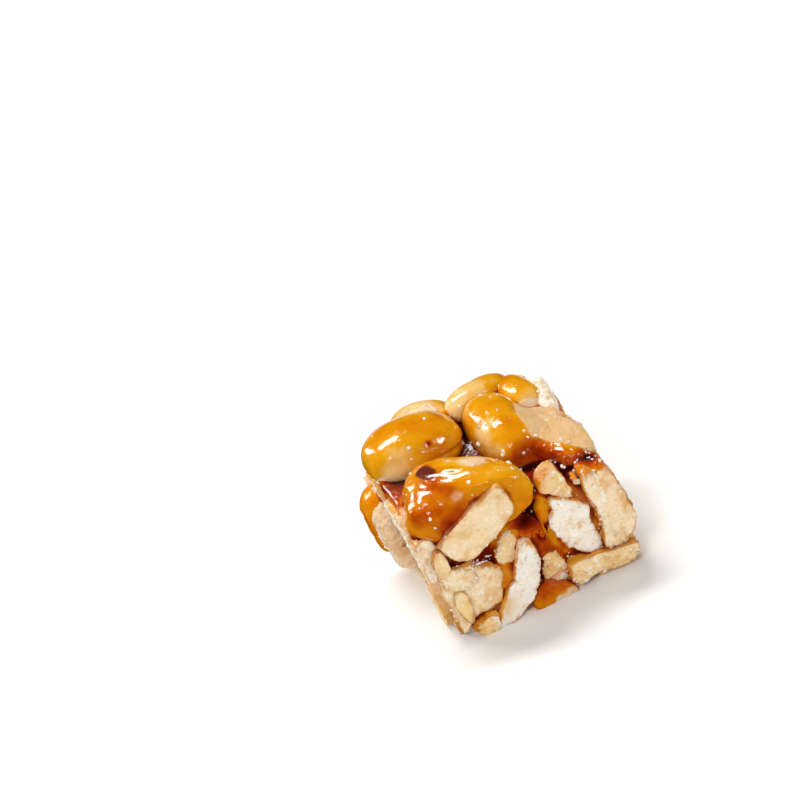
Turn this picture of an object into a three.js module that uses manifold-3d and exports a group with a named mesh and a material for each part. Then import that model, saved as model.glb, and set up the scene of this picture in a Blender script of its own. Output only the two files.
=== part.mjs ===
// One piece of peanut brittle, cut with a knife from a poured slab: a rough cube of kernels set in
// hard caramel. The top is the slab's own uncut skin, where whole kernels and halves stand proud. The
// four sides are knife cuts, so their kernels end in flat faces, and the underside is the flat one
// that the slab was rolled on. Units are millimetres, +Z is up, +X runs along the longer side and
// the front faces -Y. The origin is the middle of the underside of the whole piece's box.
import * as THREE from "three";
import Module from "manifold-3d";
import { mergeVertices } from "three/addons/utils/BufferGeometryUtils.js";

// Driving dimensions of the cut block.
const WIDTH = 26;
const DEPTH = 21.5;
const LEFT_HEIGHT = 19.4; // the slab is thicker at the left than at the right
const RIGHT_HEIGHT = 14.8;
const BACK_RISE = 1; // how much higher the top's back edge is than its front edge
const LEFT_LEAN = 2; // how far the left cut leans out from its foot to its top
const BOX_SHIFT = [-1.05, -0.27]; // from the block's middle to the middle of the piece's box

// The caramel that binds the kernels, set back behind their cut faces.
const CARAMEL_INSET = 1.1;
const CARAMEL_DIP = 0.6; // below the top plane, where the kernels stand out of it
const CARAMEL_SWELL = 0.35; // height of its uneven swells
const SWELL_PITCH = 7; // distance from one swell to the next
const CARAMEL_STEPS = [10, 8, 6]; // facets along x, y and z
const CORNER_WEAR = 0.09; // share of the way to the middle that its upright edges and rim are worn in
const WEAR_SHARPNESS = 5; // how close to an edge the wear stays

// How finely a kernel is faceted: the splits of an icosahedron's edges.
const LARGE_DETAIL = 3;
const SMALL_DETAIL = 2;
const LARGE_FROM = 9.5; // a kernel at least this long counts as large

// Kernels by rule, on the sides that carry no hand-placed ones: the size of a cell of the layout,
// and the ranges that each kernel's own numbers are drawn from.
const CELL = 7;
const CELL_JITTER = 1.2;
const LONG_RANGE = [8.5, 12.5];
const WIDE_RANGE = [6, 8];
const DEEP_RANGE = [5.5, 7];
const SQUARE_RANGE = [2.4, 4.5];
const SKEW_RANGE = [-0.3, 0.3];
const SINK_RANGE = [-1.4, -0.8];
const PROUD_RANGE = [-0.4, 0.5];
const SEED = 759;
const EDGE_MARGIN = 0.5; // rule-placed kernels keep this far inside their side's outline

const TOP_SLOPE_X = (RIGHT_HEIGHT - LEFT_HEIGHT) / WIDTH;
const TOP_SLOPE_Y = BACK_RISE / DEPTH;
const MIDDLE_HEIGHT = (LEFT_HEIGHT + RIGHT_HEIGHT) / 2;

const wasm = await Module();
wasm.setup();

// The height of the slab's top plane at a place of the plan.
function topHeight(x, y) {
  return MIDDLE_HEIGHT + TOP_SLOPE_X * x + TOP_SLOPE_Y * y;
}

// How far the left cut stands in from its mean plane at a height.
function leftLean(z) {
  return LEFT_LEAN * (0.5 - z / LEFT_HEIGHT);
}

// The frame of one side: its origin, the directions across and up it, and the way it faces.
function sideFrame(side) {
  const x = new THREE.Vector3(1, 0, 0);
  const y = new THREE.Vector3(0, 1, 0);
  const z = new THREE.Vector3(0, 0, 1);
  const frame = (origin, across, up) => ({
    origin: new THREE.Vector3(...origin),
    across,
    up,
    out: across.clone().cross(up),
  });
  if (side === "front") return frame([0, -DEPTH / 2, 0], x, z);
  if (side === "back") return frame([0, DEPTH / 2, 0], x.negate(), z);
  if (side === "left") return frame([-WIDTH / 2, 0, 0], y.negate(), z);
  if (side === "right") return frame([WIDTH / 2, 0, 0], y, z);
  if (side === "bottom") return frame([0, 0, 0], x, y.negate());
  const out = new THREE.Vector3(-TOP_SLOPE_X, -TOP_SLOPE_Y, 1).normalize();
  const across = x.addScaledVector(out, -x.dot(out)).normalize();
  return frame([0, 0, MIDDLE_HEIGHT], across, out.clone().cross(across));
}

// A kernel: the side that it shows on, its middle there (across, up and out of the side), its
// length, width and depth, and how far it is turned on the side. square is the exponent of its
// outline, from 2 for an ellipse to 5 for a chunk with corners. skew leans it, bend curves it, and
// proud is how far its cut face stands out of the knife's plane.
function kernel(name, side, place, size, turn, shape = {}) {
  return { name, side, place, size, turn, square: 2.3, skew: 0, bend: 0, proud: 0, ...shape };
}

// The slab's skin: rounded kernels under caramel, standing out of the top.
const TOP_KERNELS = [
  kernel("left_half", "top", [-7.7, 4.9, 0.5], [13.4, 8.4, 7.4], 8, { square: 2.5, proud: 2 }),
  kernel("middle_kernel", "top", [3, 2, 0.7], [14, 7.2, 7.8], -80),
  kernel("right_slab", "top", [9.4, -1.5, 0.1], [14, 7.5, 4.8], -75, { square: 2.8 }),
  kernel("front_half", "top", [-4.6, -7.5, 0.2], [16.5, 9, 8.5], -32, { proud: 0.8 }),
  kernel("back_corner", "top", [7.8, 8.2, 1], [8, 5.5, 5.6], -69, { square: 3 }),
  kernel("corner_chip", "top", [10.7, 7.9, 0.3], [8, 3, 5], -90, { square: 3 }),
  kernel("back_rim", "top", [3.2, 9.6, 2], [10, 4.6, 4.8], 21, { proud: 1 }),
  kernel("back_left", "top", [-4.2, 10, 0], [9, 6, 6], -12, { proud: 0.6 }),
];

// The front cut, from the left end of the top row to the bottom right.
const FRONT_KERNELS = [
  kernel("slanted_stick", "front", [-4.9, 14.6, 0], [10.6, 4.2, 6], 28, { square: 5, skew: 0.3, proud: 1.6 }),
  kernel("low_block", "front", [-8.9, 4.1, -1], [8.6, 8.2, 8], 80, { square: 3.4, proud: 0.4 }),
  kernel("left_chip", "front", [-12.4, 12.1, -1], [6, 3, 6], 83, { square: 3, proud: 0.3 }),
  kernel("left_flake", "front", [-11, 11.3, -0.6], [3.5, 2.1, 4], 86),
  kernel("round_end", "front", [-2.7, 9.4, -1], [3.8, 3.3, 5], 80),
  kernel("curved_slice", "front", [-2.6, 4, -1], [13.6, 3.2, 7], 58, { square: 3.5, bend: 0.22, proud: 1 }),
  kernel("dark_sliver", "front", [0.4, 10.6, -1], [5.7, 2.4, 4], -55),
  kernel("small_chip", "front", [2.5, 3.6, -1], [4.2, 2.6, 5], -73, { square: 2.6 }),
  kernel("broken_kernel", "front", [7.1, 8.2, -1], [8.5, 4.2, 8], -88, { square: 5, skew: 0.7 }),
  kernel("top_chip", "front", [6.1, 14.4, -1], [4.2, 3.2, 5], -62, { square: 3 }),
  kernel("right_half", "front", [11.7, 7.7, -1], [11.2, 4.8, 8], -92, { square: 4, skew: 0.45, proud: 1.2 }),
  kernel("bottom_strip", "front", [8.8, 1.5, -1], [10, 2.8, 8], -4, { square: 3.5, proud: 1.2 }),
  kernel("bottom_flap", "front", [1.3, 0.9, -1], [5, 2.4, 6], 0, { square: 3, proud: 0.9 }),
  kernel("bottom_crumb", "front", [-8.4, 0.9, -1], [3.6, 2.6, 5], 0, { square: 3, proud: 1.3 }),
];

// The left side, whose back half bulges.
const LEFT_KERNELS = [
  kernel("left_foot", "left", [7.6, 4, -0.4], [8, 5, 5], 60, { proud: 0.8 }),
  kernel("left_pale", "left", [-4.5, 10, 0.3], [8, 6, 5], 70, { proud: 2.5 }),
  kernel("left_shell", "left", [-7.5, 9.5, 0], [11, 8, 7], 70, { proud: 3 }),
  kernel("left_shelf", "left", [-4, 6, 0], [6, 4.5, 4], 0, { proud: 2.5 }),
  kernel("left_low", "left", [-1, 3, -1], [9, 5, 6], 10, { square: 3 }),
  kernel("left_middle", "left", [2.4, 9.6, -1.2], [8, 5, 6], 75, { square: 3 }),
];

// A stream of even random numbers from 0 to 1 (Park and Miller's generator).
function randomStream(seed) {
  let state = seed;
  return () => {
    state = (state * 48271) % 2147483647;
    return state / 2147483647;
  };
}

// Fills a side of the given length and height with a jittered grid of kernels.
function kernelsByRule(side, length, height, random) {
  const between = ([low, high]) => low + (high - low) * random();
  const columns = Math.round(length / CELL);
  const rows = Math.round(height / CELL);
  const bottomUp = side === "bottom" ? -height / 2 : 0;
  const made = [];
  for (let row = 0; row < rows; row += 1) {
    for (let column = 0; column < columns; column += 1) {
      const across = ((column + 0.5) / columns - 0.5) * (length - 2 * EDGE_MARGIN);
      const up = bottomUp + ((row + 0.5) / rows) * height;
      const place = [
        across + CELL_JITTER * (2 * random() - 1),
        up + CELL_JITTER * (2 * random() - 1),
        between(SINK_RANGE),
      ];
      const size = [between(LONG_RANGE), between(WIDE_RANGE), between(DEEP_RANGE)];
      const turn = 180 * random();
      const shape = {
        square: between(SQUARE_RANGE),
        skew: between(SKEW_RANGE),
        proud: between(PROUD_RANGE),
      };
      made.push(kernel(`${side}_${row}_${column}`, side, place, size, turn, shape));
    }
  }
  return made;
}

// A closed geometry as a manifold-3d solid.
function solidOf(geometry) {
  geometry.deleteAttribute("normal");
  geometry.deleteAttribute("uv");
  const merged = mergeVertices(geometry, 1e-4);
  return new wasm.Manifold(
    new wasm.Mesh({
      numProp: 3,
      vertProperties: new Float32Array(merged.attributes.position.array),
      triVerts: new Uint32Array(merged.index.array),
    }),
  );
}

// The point of a kernel's skin in the direction d from its middle. Its outline is a superellipse,
// and its crown over that outline is a superellipsoid's.
function skinPoint(nut, d) {
  const crown = 2.3;
  const [a, b, c] = nut.size.map((extent) => extent / 2);
  const outline = (Math.abs(d.x) / a) ** nut.square + (Math.abs(d.y) / b) ** nut.square;
  const reach = (outline ** (crown / nut.square) + (Math.abs(d.z) / c) ** crown) ** (-1 / crown);
  const point = d.clone().multiplyScalar(reach);
  point.y += (nut.bend * (point.x ** 2 - (a * a) / 3)) / a;
  point.x += nut.skew * point.y;
  return point;
}

// The block that the knife leaves, grown by how far a kernel stands proud of it.
function knifeBlock(proud) {
  const tall = 2 * LEFT_HEIGHT;
  const block = new THREE.BoxGeometry(WIDTH + 2 * proud, DEPTH + 2 * proud, tall);
  block.translate(0, 0, tall / 2);
  const corners = block.attributes.position;
  for (let i = 0; i < corners.count; i += 1) {
    const x = corners.getX(i);
    if (x < 0) corners.setX(i, x + leftLean(corners.getZ(i)));
  }
  return solidOf(block);
}

// A whole kernel in its place, trimmed by the knife and by the surface that the slab lay on.
function kernelSolid(nut) {
  const detail = nut.size[0] >= LARGE_FROM ? LARGE_DETAIL : SMALL_DETAIL;
  const geometry = new THREE.IcosahedronGeometry(1, detail);
  const points = geometry.attributes.position;
  for (let i = 0; i < points.count; i += 1) {
    const point = skinPoint(nut, new THREE.Vector3().fromBufferAttribute(points, i).normalize());
    points.setXYZ(i, point.x, point.y, point.z);
  }
  const { origin, across, up, out } = sideFrame(nut.side);
  const middle = origin
    .addScaledVector(across, nut.place[0])
    .addScaledVector(up, nut.place[1])
    .addScaledVector(out, nut.place[2]);
  geometry.rotateZ(THREE.MathUtils.degToRad(nut.turn));
  geometry.applyMatrix4(new THREE.Matrix4().makeBasis(across, up, out).setPosition(middle));
  return solidOf(geometry).intersect(knifeBlock(nut.proud));
}

// How much of its reach a point of the caramel keeps, given its shares (-1 to 1) along two axes:
// less where both are near their ends, so that the edge between two sides is worn round.
function worn(first, second) {
  return 1 - CORNER_WEAR * Math.abs(first * second) ** WEAR_SHARPNESS;
}

// The caramel: a block under the top plane, flat below and gently swollen on its other sides.
function caramelSolid() {
  const geometry = new THREE.BoxGeometry(2, 2, 2, ...CARAMEL_STEPS);
  const points = geometry.attributes.position;
  const phase = (2 * Math.PI) / SWELL_PITCH;
  for (let i = 0; i < points.count; i += 1) {
    const share = new THREE.Vector3().fromBufferAttribute(points, i);
    const lift = (share.z + 1) / 2;
    const rim = worn(Math.max(share.z, 0), Math.max(Math.abs(share.x), Math.abs(share.y)));
    const plan = worn(share.x, share.y) * rim;
    let x = (share.x * plan * (WIDTH - 2 * CARAMEL_INSET)) / 2;
    const y = (share.y * plan * (DEPTH - 2 * CARAMEL_INSET)) / 2;
    const z = lift * (topHeight(x, y) - CARAMEL_DIP);
    const swell = CARAMEL_SWELL * lift * Math.sin(phase * (x + z)) * Math.cos(phase * (y - z));
    if (share.x < 0) x -= leftLean(z) * share.x;
    points.setXYZ(i, x + swell * share.x, y + swell * share.y, z + swell);
  }
  return solidOf(geometry);
}

// All solids as one. Fusing can seal a hollow or leave a loose scrap, so only the outer body stays.
function fused(solids) {
  const bodies = solids.reduce((whole, next) => whole.add(next)).decompose();
  return bodies.reduce((largest, next) => (next.volume() > largest.volume() ? next : largest));
}

// A manifold-3d solid as a three.js geometry with flat facets.
function geometryOf(solid) {
  const mesh = solid.getMesh();
  const geometry = new THREE.BufferGeometry();
  geometry.setAttribute("position", new THREE.BufferAttribute(mesh.vertProperties, 3));
  geometry.setIndex(new THREE.BufferAttribute(mesh.triVerts, 1));
  geometry.computeVertexNormals();
  return geometry;
}

function nutBrittle() {
  const random = randomStream(SEED);
  const nuts = [
    ...TOP_KERNELS,
    ...FRONT_KERNELS,
    ...LEFT_KERNELS,
    ...kernelsByRule("right", DEPTH, RIGHT_HEIGHT, random),
    ...kernelsByRule("back", WIDTH, MIDDLE_HEIGHT, random),
    ...kernelsByRule("bottom", WIDTH, DEPTH, random),
  ];
  const material = new THREE.MeshStandardMaterial({ color: 0xc98532, roughness: 0.35, metalness: 0 });
  const mesh = new THREE.Mesh(geometryOf(fused([caramelSolid(), ...nuts.map(kernelSolid)])), material);
  mesh.name = "nut_brittle";
  mesh.position.set(-BOX_SHIFT[0], -BOX_SHIFT[1], 0);
  return mesh;
}

const group = new THREE.Group();
group.add(nutBrittle());

export default group;
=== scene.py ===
"""One piece of peanut brittle, knife-cut from a poured slab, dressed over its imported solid.

The slab's uncut top carries whole kernels and halves under a glossy caramel skin. The four cut sides
show pale, crumbly kernel flesh with dark caramel in the pits between, and the underside is flat.
Lengths inside the classes are millimetres in the block's own frame, whose origin is the middle of
the cut block's underside. `to_part` turns them to metres in the part's frame.
"""

import logging
import math
from collections.abc import Iterator
from dataclasses import dataclass
from dataclasses import field
from enum import Enum

import bmesh
import bpy
import numpy as np
import openvdb
from mathutils import Matrix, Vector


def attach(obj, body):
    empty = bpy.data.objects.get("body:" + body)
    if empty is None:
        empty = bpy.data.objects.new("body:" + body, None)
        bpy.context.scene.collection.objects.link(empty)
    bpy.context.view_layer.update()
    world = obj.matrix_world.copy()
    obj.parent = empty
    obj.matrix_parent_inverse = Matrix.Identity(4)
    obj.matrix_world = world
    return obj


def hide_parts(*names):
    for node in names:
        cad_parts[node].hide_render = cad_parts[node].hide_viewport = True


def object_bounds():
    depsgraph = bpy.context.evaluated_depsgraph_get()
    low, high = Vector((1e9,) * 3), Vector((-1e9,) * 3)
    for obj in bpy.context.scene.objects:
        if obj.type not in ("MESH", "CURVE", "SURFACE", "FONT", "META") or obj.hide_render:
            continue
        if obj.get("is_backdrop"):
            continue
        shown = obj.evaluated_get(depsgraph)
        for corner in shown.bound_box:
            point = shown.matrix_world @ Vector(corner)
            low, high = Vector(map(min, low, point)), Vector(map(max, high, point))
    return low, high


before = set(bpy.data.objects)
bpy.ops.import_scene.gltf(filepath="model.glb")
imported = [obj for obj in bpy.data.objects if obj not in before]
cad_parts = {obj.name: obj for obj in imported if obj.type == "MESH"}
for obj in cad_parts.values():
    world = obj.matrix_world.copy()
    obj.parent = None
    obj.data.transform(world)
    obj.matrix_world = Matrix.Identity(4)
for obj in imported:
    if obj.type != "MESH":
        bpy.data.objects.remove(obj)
CAD_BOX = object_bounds()

LOG = logging.getLogger("nut_brittle")
NODE = "nut_brittle"
MM = 0.001
CUT_SIDES = ("front", "back", "left", "right")

Array = np.ndarray
Pair = tuple[float, float]
Vec3 = tuple[float, float, float]
Limits = tuple[float, float, float, float]
Corners = tuple[Pair, ...]


# ---------------------------------------------------------------------------------------------
# Numbers from noise


class RandomStream:
    """Park and Miller's generator, the one that the solid's kernels by rule are drawn from."""

    MULTIPLIER = 48271
    MODULUS = 2147483647

    def __init__(self, seed: int) -> None:
        """Start the stream.

        Args:
            seed: The first state, from 1 up.
        """
        self.state = seed

    def draw(self) -> float:
        """Return the next even random number from 0 to 1."""
        self.state = self.state * self.MULTIPLIER % self.MODULUS
        return self.state / self.MODULUS

    def between(self, limits: Pair) -> float:
        """Return the next number within the two limits."""
        return limits[0] + (limits[1] - limits[0]) * self.draw()


class Noise:
    """Smooth lattice noise over space, from a seeded table of numbers."""

    TABLE = 65536
    PRIMES = (73856093, 19349663, 83492791)
    LAYER_SHIFT = 17.3
    LAYERED_SPAN = 1.5

    def __init__(self, seed: int) -> None:
        """Fill the table.

        Args:
            seed: Makes one pattern or another.
        """
        self.table = np.random.default_rng(seed).uniform(-1, 1, self.TABLE)

    def __call__(self, points: Array, pitch: float) -> Array:
        """Return the noise at some points.

        Args:
            points: Places, in millimetres, along the last axis.
            pitch: The distance between the lattice's points, in millimetres.

        Returns:
            One number from -1 to 1 for each point.
        """
        scaled = points / pitch
        cell = np.floor(scaled).astype(np.int64)
        part = scaled - cell
        part = part * part * (3 - 2 * part)
        total = np.zeros(points.shape[:-1])
        for corner in np.ndindex(2, 2, 2):
            at = (cell + corner) * self.PRIMES
            index = (at[..., 0] ^ at[..., 1] ^ at[..., 2]) % self.TABLE
            share = np.prod(np.where(corner, part, 1 - part), axis=-1)
            total += self.table[index] * share
        return total

    def layered(self, points: Array, pitch: float, layers: int = 3) -> Array:
        """Return noise with finer, weaker layers on top.

        Args:
            points: Places, in millimetres.
            pitch: The coarsest layer's pitch.
            layers: How many layers, each half the pitch and half the strength of the last.

        Returns:
            One number for each point, mostly from -1 to 1.
        """
        layer = (self(points + self.LAYER_SHIFT * k, pitch / 2**k) / 2**k for k in range(layers))
        return sum(layer) / self.LAYERED_SPAN


# Shifts, in millimetres, to stretches of a noise that nothing else uses, and how many times farther
# apart than on the block the kernels' forms lie in theirs.
SWELL_SHIFT = 40
FILM_SHIFT = 9
CRACK_SHIFT = 50
CLUSTER_SHIFT = 70
FORM_SPREAD = 3.1


def smooth_step(low: float, high: float, values: Array) -> Array:
    """Return 0 below low, 1 above high and a smooth rise between."""
    share = np.clip((values - low) / (high - low), 0, 1)
    return share * share * (3 - 2 * share)


def smooth_min(first: Array, second: Array, blend: float) -> Array:
    """Return the lesser of two fields, with their meeting rounded over the blend length."""
    near = np.maximum(blend - np.abs(first - second), 0) / blend
    return np.minimum(first, second) - near * near * blend / 4


# ---------------------------------------------------------------------------------------------
# The cut block


@dataclass(frozen=True)
class SideFrame:
    """One side of the block: its origin, the directions across and up it, and its outward one."""

    origin: Array
    across: Array
    up: Array

    @property
    def out(self) -> Array:
        """Return the way that the side faces."""
        return np.cross(self.across, self.up)

    def place(self, across: float, up: float, out: float) -> Array:
        """Return the point at these distances from the side's origin."""
        return self.origin + across * self.across + up * self.up + out * self.out


@dataclass(frozen=True)
class Block:
    """The block that the knife leaves, with its driving dimensions."""

    width: float = 26.0
    depth: float = 21.5
    left_height: float = 19.4
    right_height: float = 14.8
    back_rise: float = 1.0
    left_lean: float = 2.0
    box_shift: Vec3 = (-1.05, -0.27, 0.0)

    @property
    def middle_height(self) -> float:
        """Return the top's height over the middle of the plan."""
        return (self.left_height + self.right_height) / 2

    @property
    def slope(self) -> Pair:
        """Return how much the top rises for each millimetre along x and along y."""
        return (self.right_height - self.left_height) / self.width, self.back_rise / self.depth

    def top_height(self, points: Array) -> Array:
        """Return the top plane's height at the plan positions of some points."""
        along_x, along_y = self.slope
        return self.middle_height + along_x * points[..., 0] + along_y * points[..., 1]

    def side(self, name: str) -> SideFrame:
        """Return a side's frame.

        Args:
            name: front, back, left, right, bottom or top.

        Returns:
            The frame, with across and up as seen from outside.
        """
        x, y, z = np.eye(3)
        if name == "top":
            out = np.array([-self.slope[0], -self.slope[1], 1.0])
            out /= np.linalg.norm(out)
            across = x - out * (x @ out)
            across /= np.linalg.norm(across)
            return SideFrame(np.array([0, 0, self.middle_height]), across, np.cross(out, across))
        return {
            "front": SideFrame(-y * self.depth / 2, x, z),
            "back": SideFrame(y * self.depth / 2, -x, z),
            "left": SideFrame(-x * self.width / 2, -y, z),
            "right": SideFrame(x * self.width / 2, y, z),
            "bottom": SideFrame(np.zeros(3), x, -y),
        }[name]

    def beyond(self, side: str, points: Array) -> Array:
        """Return how far points lie outside the plane of one cut side or the floor.

        Args:
            side: A cut side, or bottom.
            points: Places in the block's frame.

        Returns:
            Millimetres, below 0 inside.
        """
        x, y, z = points[..., 0], points[..., 1], points[..., 2]
        if side == "bottom":
            return -z
        if side == "left":
            return self.left_lean * (0.5 - z / self.left_height) - self.width / 2 - x
        return {"front": -y - self.depth / 2, "back": y - self.depth / 2, "right": x - self.width / 2}[side]

    def to_part(self, points: Array) -> Array:
        """Turn millimetres in the block's frame to metres in the part's frame."""
        return (points - np.array(self.box_shift)) * MM


BLOCK = Block()


# ---------------------------------------------------------------------------------------------
# Kernels


class Finish(Enum):
    """What a kernel shows."""

    CUT = "knife-cut or broken flesh"
    GLAZED = "whole, under a caramel skin"
    BARE = "whole, with little caramel on it"


CUT, GLAZED, BARE = Finish.CUT, Finish.GLAZED, Finish.BARE

# How much of a film each finish takes, from 0 to 1, and the limits that part glazed kernels from cut
# ones and those from bare ones.
COATED = {GLAZED: 1.0, CUT: 0.5, BARE: 0.0}
ABOVE_CUT = 0.9
ABOVE_BARE = 0.4

# Exponents of a kernel's crown, whole and cut, and how much a ball's directions lean outwards.
CROWN = 2.3
CUT_CROWN = 3.0
TURNED_OUT = 0.45

# The groove between two halves: its width in millimetres, and where along them it sets in.
SEAM_WIDTH = 0.45
SEAM_START = (-0.6, 0.9)

# An outline's reach is taken at this many angles and blurred over this many either way.
OUTLINE_STEPS = 720
OUTLINE_BLUR = 3
ALONGSIDE = 1e-9


@dataclass(frozen=True)
class Kernel:
    """One peanut kernel, half or chip, and its place on a side of the block.

    place holds its middle across, up and out of the side; size its length, width and depth; turn the
    degrees that it is turned on the side. square is its outline's exponent, skew leans it, bend
    curves it and proud is how far its cut face stands out of the knife's plane, which grows by flare
    towards the foot. rough scales the relief of its cut face, seam is the depth of the groove between
    its halves, pale runs from 0, cream, to 1, chalk white, and syrup from 0, honey, to 1, red-brown,
    is the colour of its film. outline holds the corners of a cut face, across and up the side, in
    place of square, skew and bend.
    """

    name: str
    side: str
    place: Vec3
    size: Vec3
    turn: float = 0.0
    square: float = 2.3
    skew: float = 0.0
    bend: float = 0.0
    proud: float = 0.0
    flare: float = 0.0
    finish: Finish = Finish.CUT
    rough: float = 1.0
    seam: float = 0.0
    pale: float = 0.35
    syrup: float = 0.35
    outline: Corners = ()

    def middle(self) -> Array:
        """Return the kernel's middle in the block's frame."""
        return BLOCK.side(self.side).place(*self.place)

    def axes(self) -> Array:
        """Return its length, width and depth directions as the columns of a matrix."""
        side = BLOCK.side(self.side)
        angle = math.radians(self.turn)
        along = math.cos(angle) * side.across + math.sin(angle) * side.up
        return np.stack([along, np.cross(side.out, along), side.out], axis=1)

    def spread(self, ball: Array) -> Array:
        """Turn a ball's directions into ones that lie evenly over the kernel, more of them outwards."""
        spread = (ball + np.array([0, 0, TURNED_OUT])) * self.size
        return spread / np.linalg.norm(spread, axis=1, keepdims=True)

    def skin(self, directions: Array, lumps: Array) -> Array:
        """Return the uncut skin's points.

        Args:
            directions: Unit directions in the kernel's own axes, one a row.
            lumps: For each, the share by which its reach differs from the plain form's.

        Returns:
            Points from the kernel's middle, in the block's axes.
        """
        half = np.array(self.size) / 2
        share = np.abs(directions) / half
        if self.outline:
            flat = np.hypot(directions[:, 0], directions[:, 1]) / self.rim(directions)
            reach = (flat**CUT_CROWN + share[:, 2] ** CUT_CROWN) ** (-1 / CUT_CROWN)
            return directions * (reach * (1 + lumps))[:, None] @ self.axes().T
        outline = share[:, 0] ** self.square + share[:, 1] ** self.square
        reach = (outline ** (CROWN / self.square) + share[:, 2] ** CROWN) ** (-1 / CROWN)
        points = directions * (reach * (1 + lumps))[:, None]
        groove = np.exp(-((points[:, 2] / SEAM_WIDTH) ** 2)) * smooth_step(*SEAM_START, directions[:, 0])
        points *= (1 - self.seam * groove)[:, None]
        points[:, 1] += self.bend * (points[:, 0] ** 2 - half[0] ** 2 / 3) / half[0]
        points[:, 0] += self.skew * points[:, 1]
        return points @ self.axes().T

    def rim(self, directions: Array) -> Array:
        """Return how far the widest section reaches, so that the knife's plane cuts it along the outline.

        Args:
            directions: Unit directions in the kernel's own axes, one a row.

        Returns:
            Millimetres from the kernel's middle, for each direction's angle about its depth.
        """
        corners = np.array(self.outline) - self.place[:2]
        runs = np.roll(corners, -1, axis=0) - corners
        angles = np.linspace(-np.pi, np.pi, OUTLINE_STEPS, endpoint=False)
        rays = np.stack([np.cos(angles), np.sin(angles)], axis=1)[:, None]
        cross = rays[..., 0] * runs[:, 1] - rays[..., 1] * runs[:, 0]
        cross = np.where(np.abs(cross) < ALONGSIDE, ALONGSIDE, cross)
        along = (corners[:, 0] * runs[:, 1] - corners[:, 1] * runs[:, 0]) / cross
        share = (corners[:, 0] * rays[..., 1] - corners[:, 1] * rays[..., 0]) / cross
        hit = (share >= 0) & (share <= 1) & (along > 0)
        reach = np.where(hit, along, 0).max(axis=1)
        for _ in range(2):
            reach = np.mean([np.roll(reach, k) for k in range(-OUTLINE_BLUR, OUTLINE_BLUR + 1)], axis=0)
        height = (self.proud - self.place[2]) / (self.size[2] / 2)
        reach = reach / (1 - height**CUT_CROWN) ** (1 / CUT_CROWN)
        return np.interp(np.arctan2(directions[:, 1], directions[:, 0]), angles, reach, period=2 * np.pi)


TOP_KERNELS = (
    Kernel("left_half", "top", (-7.5, 5.0, 0.5), (13.8, 9, 7.6), 8, 2.6, proud=2, finish=GLAZED, seam=0.05),
    Kernel("back_corner", "top", (7.8, 8.2, 1), (8, 5.5, 5.6), -69, 3, finish=GLAZED, syrup=0.3),
    Kernel("corner_chip", "top", (10.9, 7.7, 0.3), (8.5, 3.4, 5.2), -90, 3, finish=BARE, pale=1),
    Kernel("back_rim", "top", (3.2, 9.6, 2), (10, 4.6, 4.8), 21, proud=1, finish=GLAZED, syrup=0.2),
    Kernel("back_left", "top", (-4.2, 10, 0), (9, 6, 6), -12, proud=0.6, finish=GLAZED, syrup=0.3),
)

FRONT_HALF = (
    Kernel("front_half", "top", (-4.6, -7.5, 0.2), (16.5, 9, 8.5), -32, proud=0.8, finish=GLAZED),
    Kernel("front_shoulder", "front", (-8.6, 16.8, -2.4), (9, 6.5, 7), -20, 2.6, proud=0.9, finish=GLAZED),
)

SPLIT_KERNEL = (
    Kernel(
        "middle_kernel", "top", (3.6, 2.4, 0.7), (13.6, 7.2, 7.8), -82, 3,
        finish=GLAZED, pale=0.15, syrup=0.3,
    ),
    Kernel("right_slab", "top", (9.4, -1.5, 0.1), (14, 7.5, 4.8), -75, 2.8, finish=BARE, pale=0),
)

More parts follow.
